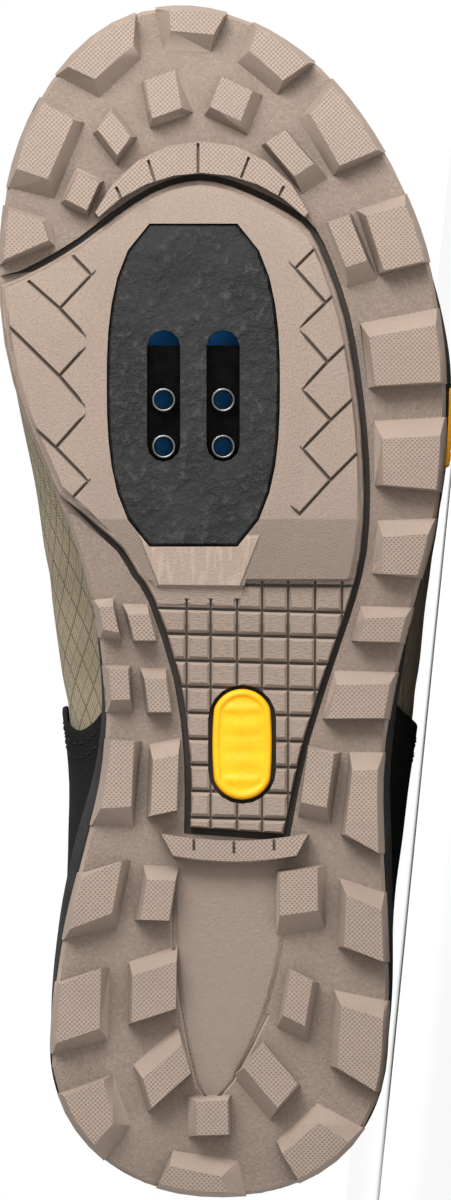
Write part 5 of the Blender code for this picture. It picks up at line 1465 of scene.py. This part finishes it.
# %% [markdown]
# ## Stitches
#
# A row of stitches is one short bead repeated at an even pitch. The bead is a stretched ball of a
# few dozen faces, and all its copies are made at once from the path's points and directions.

# %% Stitches
BEAD_ROWS, BEAD_COLUMNS = 7, 8


def stitch_row(path, normal, pitch=2.6 * MM, length=1.9 * MM, width=0.5 * MM):
    """Beads along a path: each is a ball stretched along the path and pressed onto the cloth."""
    travelled = travel(path)
    at = np.arange(pitch, travelled[-1] - pitch / 2, pitch)
    centre, ahead, out = (np.stack([np.interp(spots, travelled, line[:, k]) for k in range(3)], axis=1)
                          for spots, line in ((at, path), (at + 0.2 * MM, path), (at, normal)))
    along = unit(ahead - centre)
    across = unit(np.cross(out, along))
    polar = np.linspace(0, math.pi, BEAD_ROWS)[None, :, None, None]
    turn = circle(BEAD_COLUMNS)[None, None, :, None]
    along, across, out = (v[:, None, None, :] for v in (along, across, out))
    ball = (np.cos(polar) * along * length / 2 + np.sin(polar) * np.cos(turn) * across * width / 2
            + np.sin(polar) * np.sin(turn) * out * width / 3)
    return (centre[:, None, None, :] + ball).reshape(-1, 3)


rows = []


def sew(run, way):
    """Row of stitches on the layers over the skin."""
    rows.append(stitch_row(on_skin(run, way, STITCH_LIFT), skin_normal(run, way)))


for side in (-1, 1):
    way = side * (1 - CLIMB * (1 - top_share(FRONT[side], side)))
    for back in (0.010, 0.021):
        sew((FRONT[side] - back)[1:-2], way[1:-2])
run, way = facing()
for column in (1, 8):
    sew(run[:, column], way[:, column])
points, bead = np.concatenate(rows), BEAD_ROWS * BEAD_COLUMNS
faces = repeated(grid_faces(BEAD_ROWS, BEAD_COLUMNS, wrap_columns=True), bead, len(points) // bead)
dress(weld(new_piece("stitches", points, faces, material=THREAD), 0.001 * MM), "black_cloth")

# %% [markdown]
# ## Camera, floor and light
#
# The photograph looks straight at the sole, with the toe at the top. The camera keeps that angle to
# the lying shoe, so it is rolled on its side and stands low over the floor, 3 m away. A wide soft sun
# shines from the toe and the inner side, as the lit faces of the lugs show, a small lamp helps it at
# the toe, and a pale floor and a bright surround fill the shadows.

# %% Camera
PHOTO_MIDDLE, PHOTO_HEIGHT, SENSOR = (225.5, 600), 282.35 * MM, 36.0


def camera(distance=3.0):
    """Camera on the line through the picture's middle, whose lens fills the picture's height."""
    data = bpy.data.cameras.new("camera")
    made = place("camera", data)
    middle = lying(np.append(photo_mm(*PHOTO_MIDDLE), 5 * MM))
    inner, toe, up = (Vector(w) for w in (INNER_WAY, TOE_WAY, UP_WAY))
    turn = Matrix((-inner, toe, -up)).transposed().to_4x4()
    turn.translation = Vector(middle) - up * distance
    made.matrix_world = turn
    data.sensor_width, data.lens = SENSOR, SENSOR * distance / PHOTO_HEIGHT
    data.clip_start, data.clip_end = 0.05, 400.0
    bpy.context.scene.camera = made
    return made


view = camera()
print("camera stands", round(view.location.z / MM), "mm over the floor")

# %% [markdown]
# The floor is pale matt paper. Behind it the surround shows pure white, but lights the shoe a little
# less, which one shader with a camera-ray switch does.

# %% Floor and surround
def flat_floor(half=4.0):
    """Square floor under the shoe, wide enough for any view."""
    points = np.array([[-half, -half, 0], [half, -half, 0], [half, half, 0], [-half, half, 0]])
    floor = new_piece("floor", points, np.array([[0, 1, 2, 3]]), pose=False)
    paper = Finish("floor_paper", 1.0, Specular_IOR_Level=0.0)
    paper.colour((0.90, 0.90, 0.895))
    floor.data.materials.append(paper.material)
    return floor


def surround(strength_light, strength_seen):
    """White world that lights the shoe with one strength and shows itself with another."""
    world = bpy.data.worlds.new("surround")
    world.use_nodes = True
    tree = world.node_tree
    tree.nodes.clear()
    ray = tree.nodes.new("ShaderNodeLightPath")
    mix = tree.nodes.new("ShaderNodeMixShader")
    out = tree.nodes.new("ShaderNodeOutputWorld")
    for slot, strength in ((1, strength_light), (2, strength_seen)):
        back = tree.nodes.new("ShaderNodeBackground")
        back.inputs["Color"].default_value = (1.0, 1.0, 1.0, 1.0)
        back.inputs["Strength"].default_value = strength
        tree.links.new(back.outputs[0], mix.inputs[slot])
    tree.links.new(ray.outputs["Is Camera Ray"], mix.inputs[0])
    tree.links.new(mix.outputs[0], out.inputs[0])
    bpy.context.scene.world = world


def lamp(name, kind, **settings):
    """New light with the given settings."""
    data = bpy.data.lights.new(name, kind)
    for setting, value in settings.items():
        setattr(data, setting, value)
    return place(name, data)


def wide_sun(name, inner, toe, up, strength, angle):
    """Very soft light without falloff, from a standing direction."""
    made = lamp(name, "SUN", energy=strength, angle=math.radians(angle))
    way = Vector(lying([0.0, 0.0, 0.0])) - Vector(lying([inner, toe, up]))
    made.rotation_euler = way.to_track_quat("-Z", "Y").to_euler()


def soft_light(name, inner, toe, up, size, power):
    """Square light at a standing place around the sole's middle, turned to it and unseen."""
    made = lamp(name, "AREA", size=size, energy=power)
    made.location = Vector(lying([inner, 0.14 + toe, up]))
    aim = Vector(lying([0.0, 0.14, 0.01])) - made.location
    made.rotation_euler = aim.to_track_quat("-Z", "Y").to_euler()
    made.visible_camera = False


flat_floor()
surround(strength_light=0.74, strength_seen=1.0)
wide_sun("key", inner=0.60, toe=0.95, up=-0.75, strength=1.9, angle=26.0)
soft_light("toe", inner=0.15, toe=0.62, up=-0.55, size=0.4, power=7.5)
bpy.context.scene.view_settings.view_transform = "Standard"
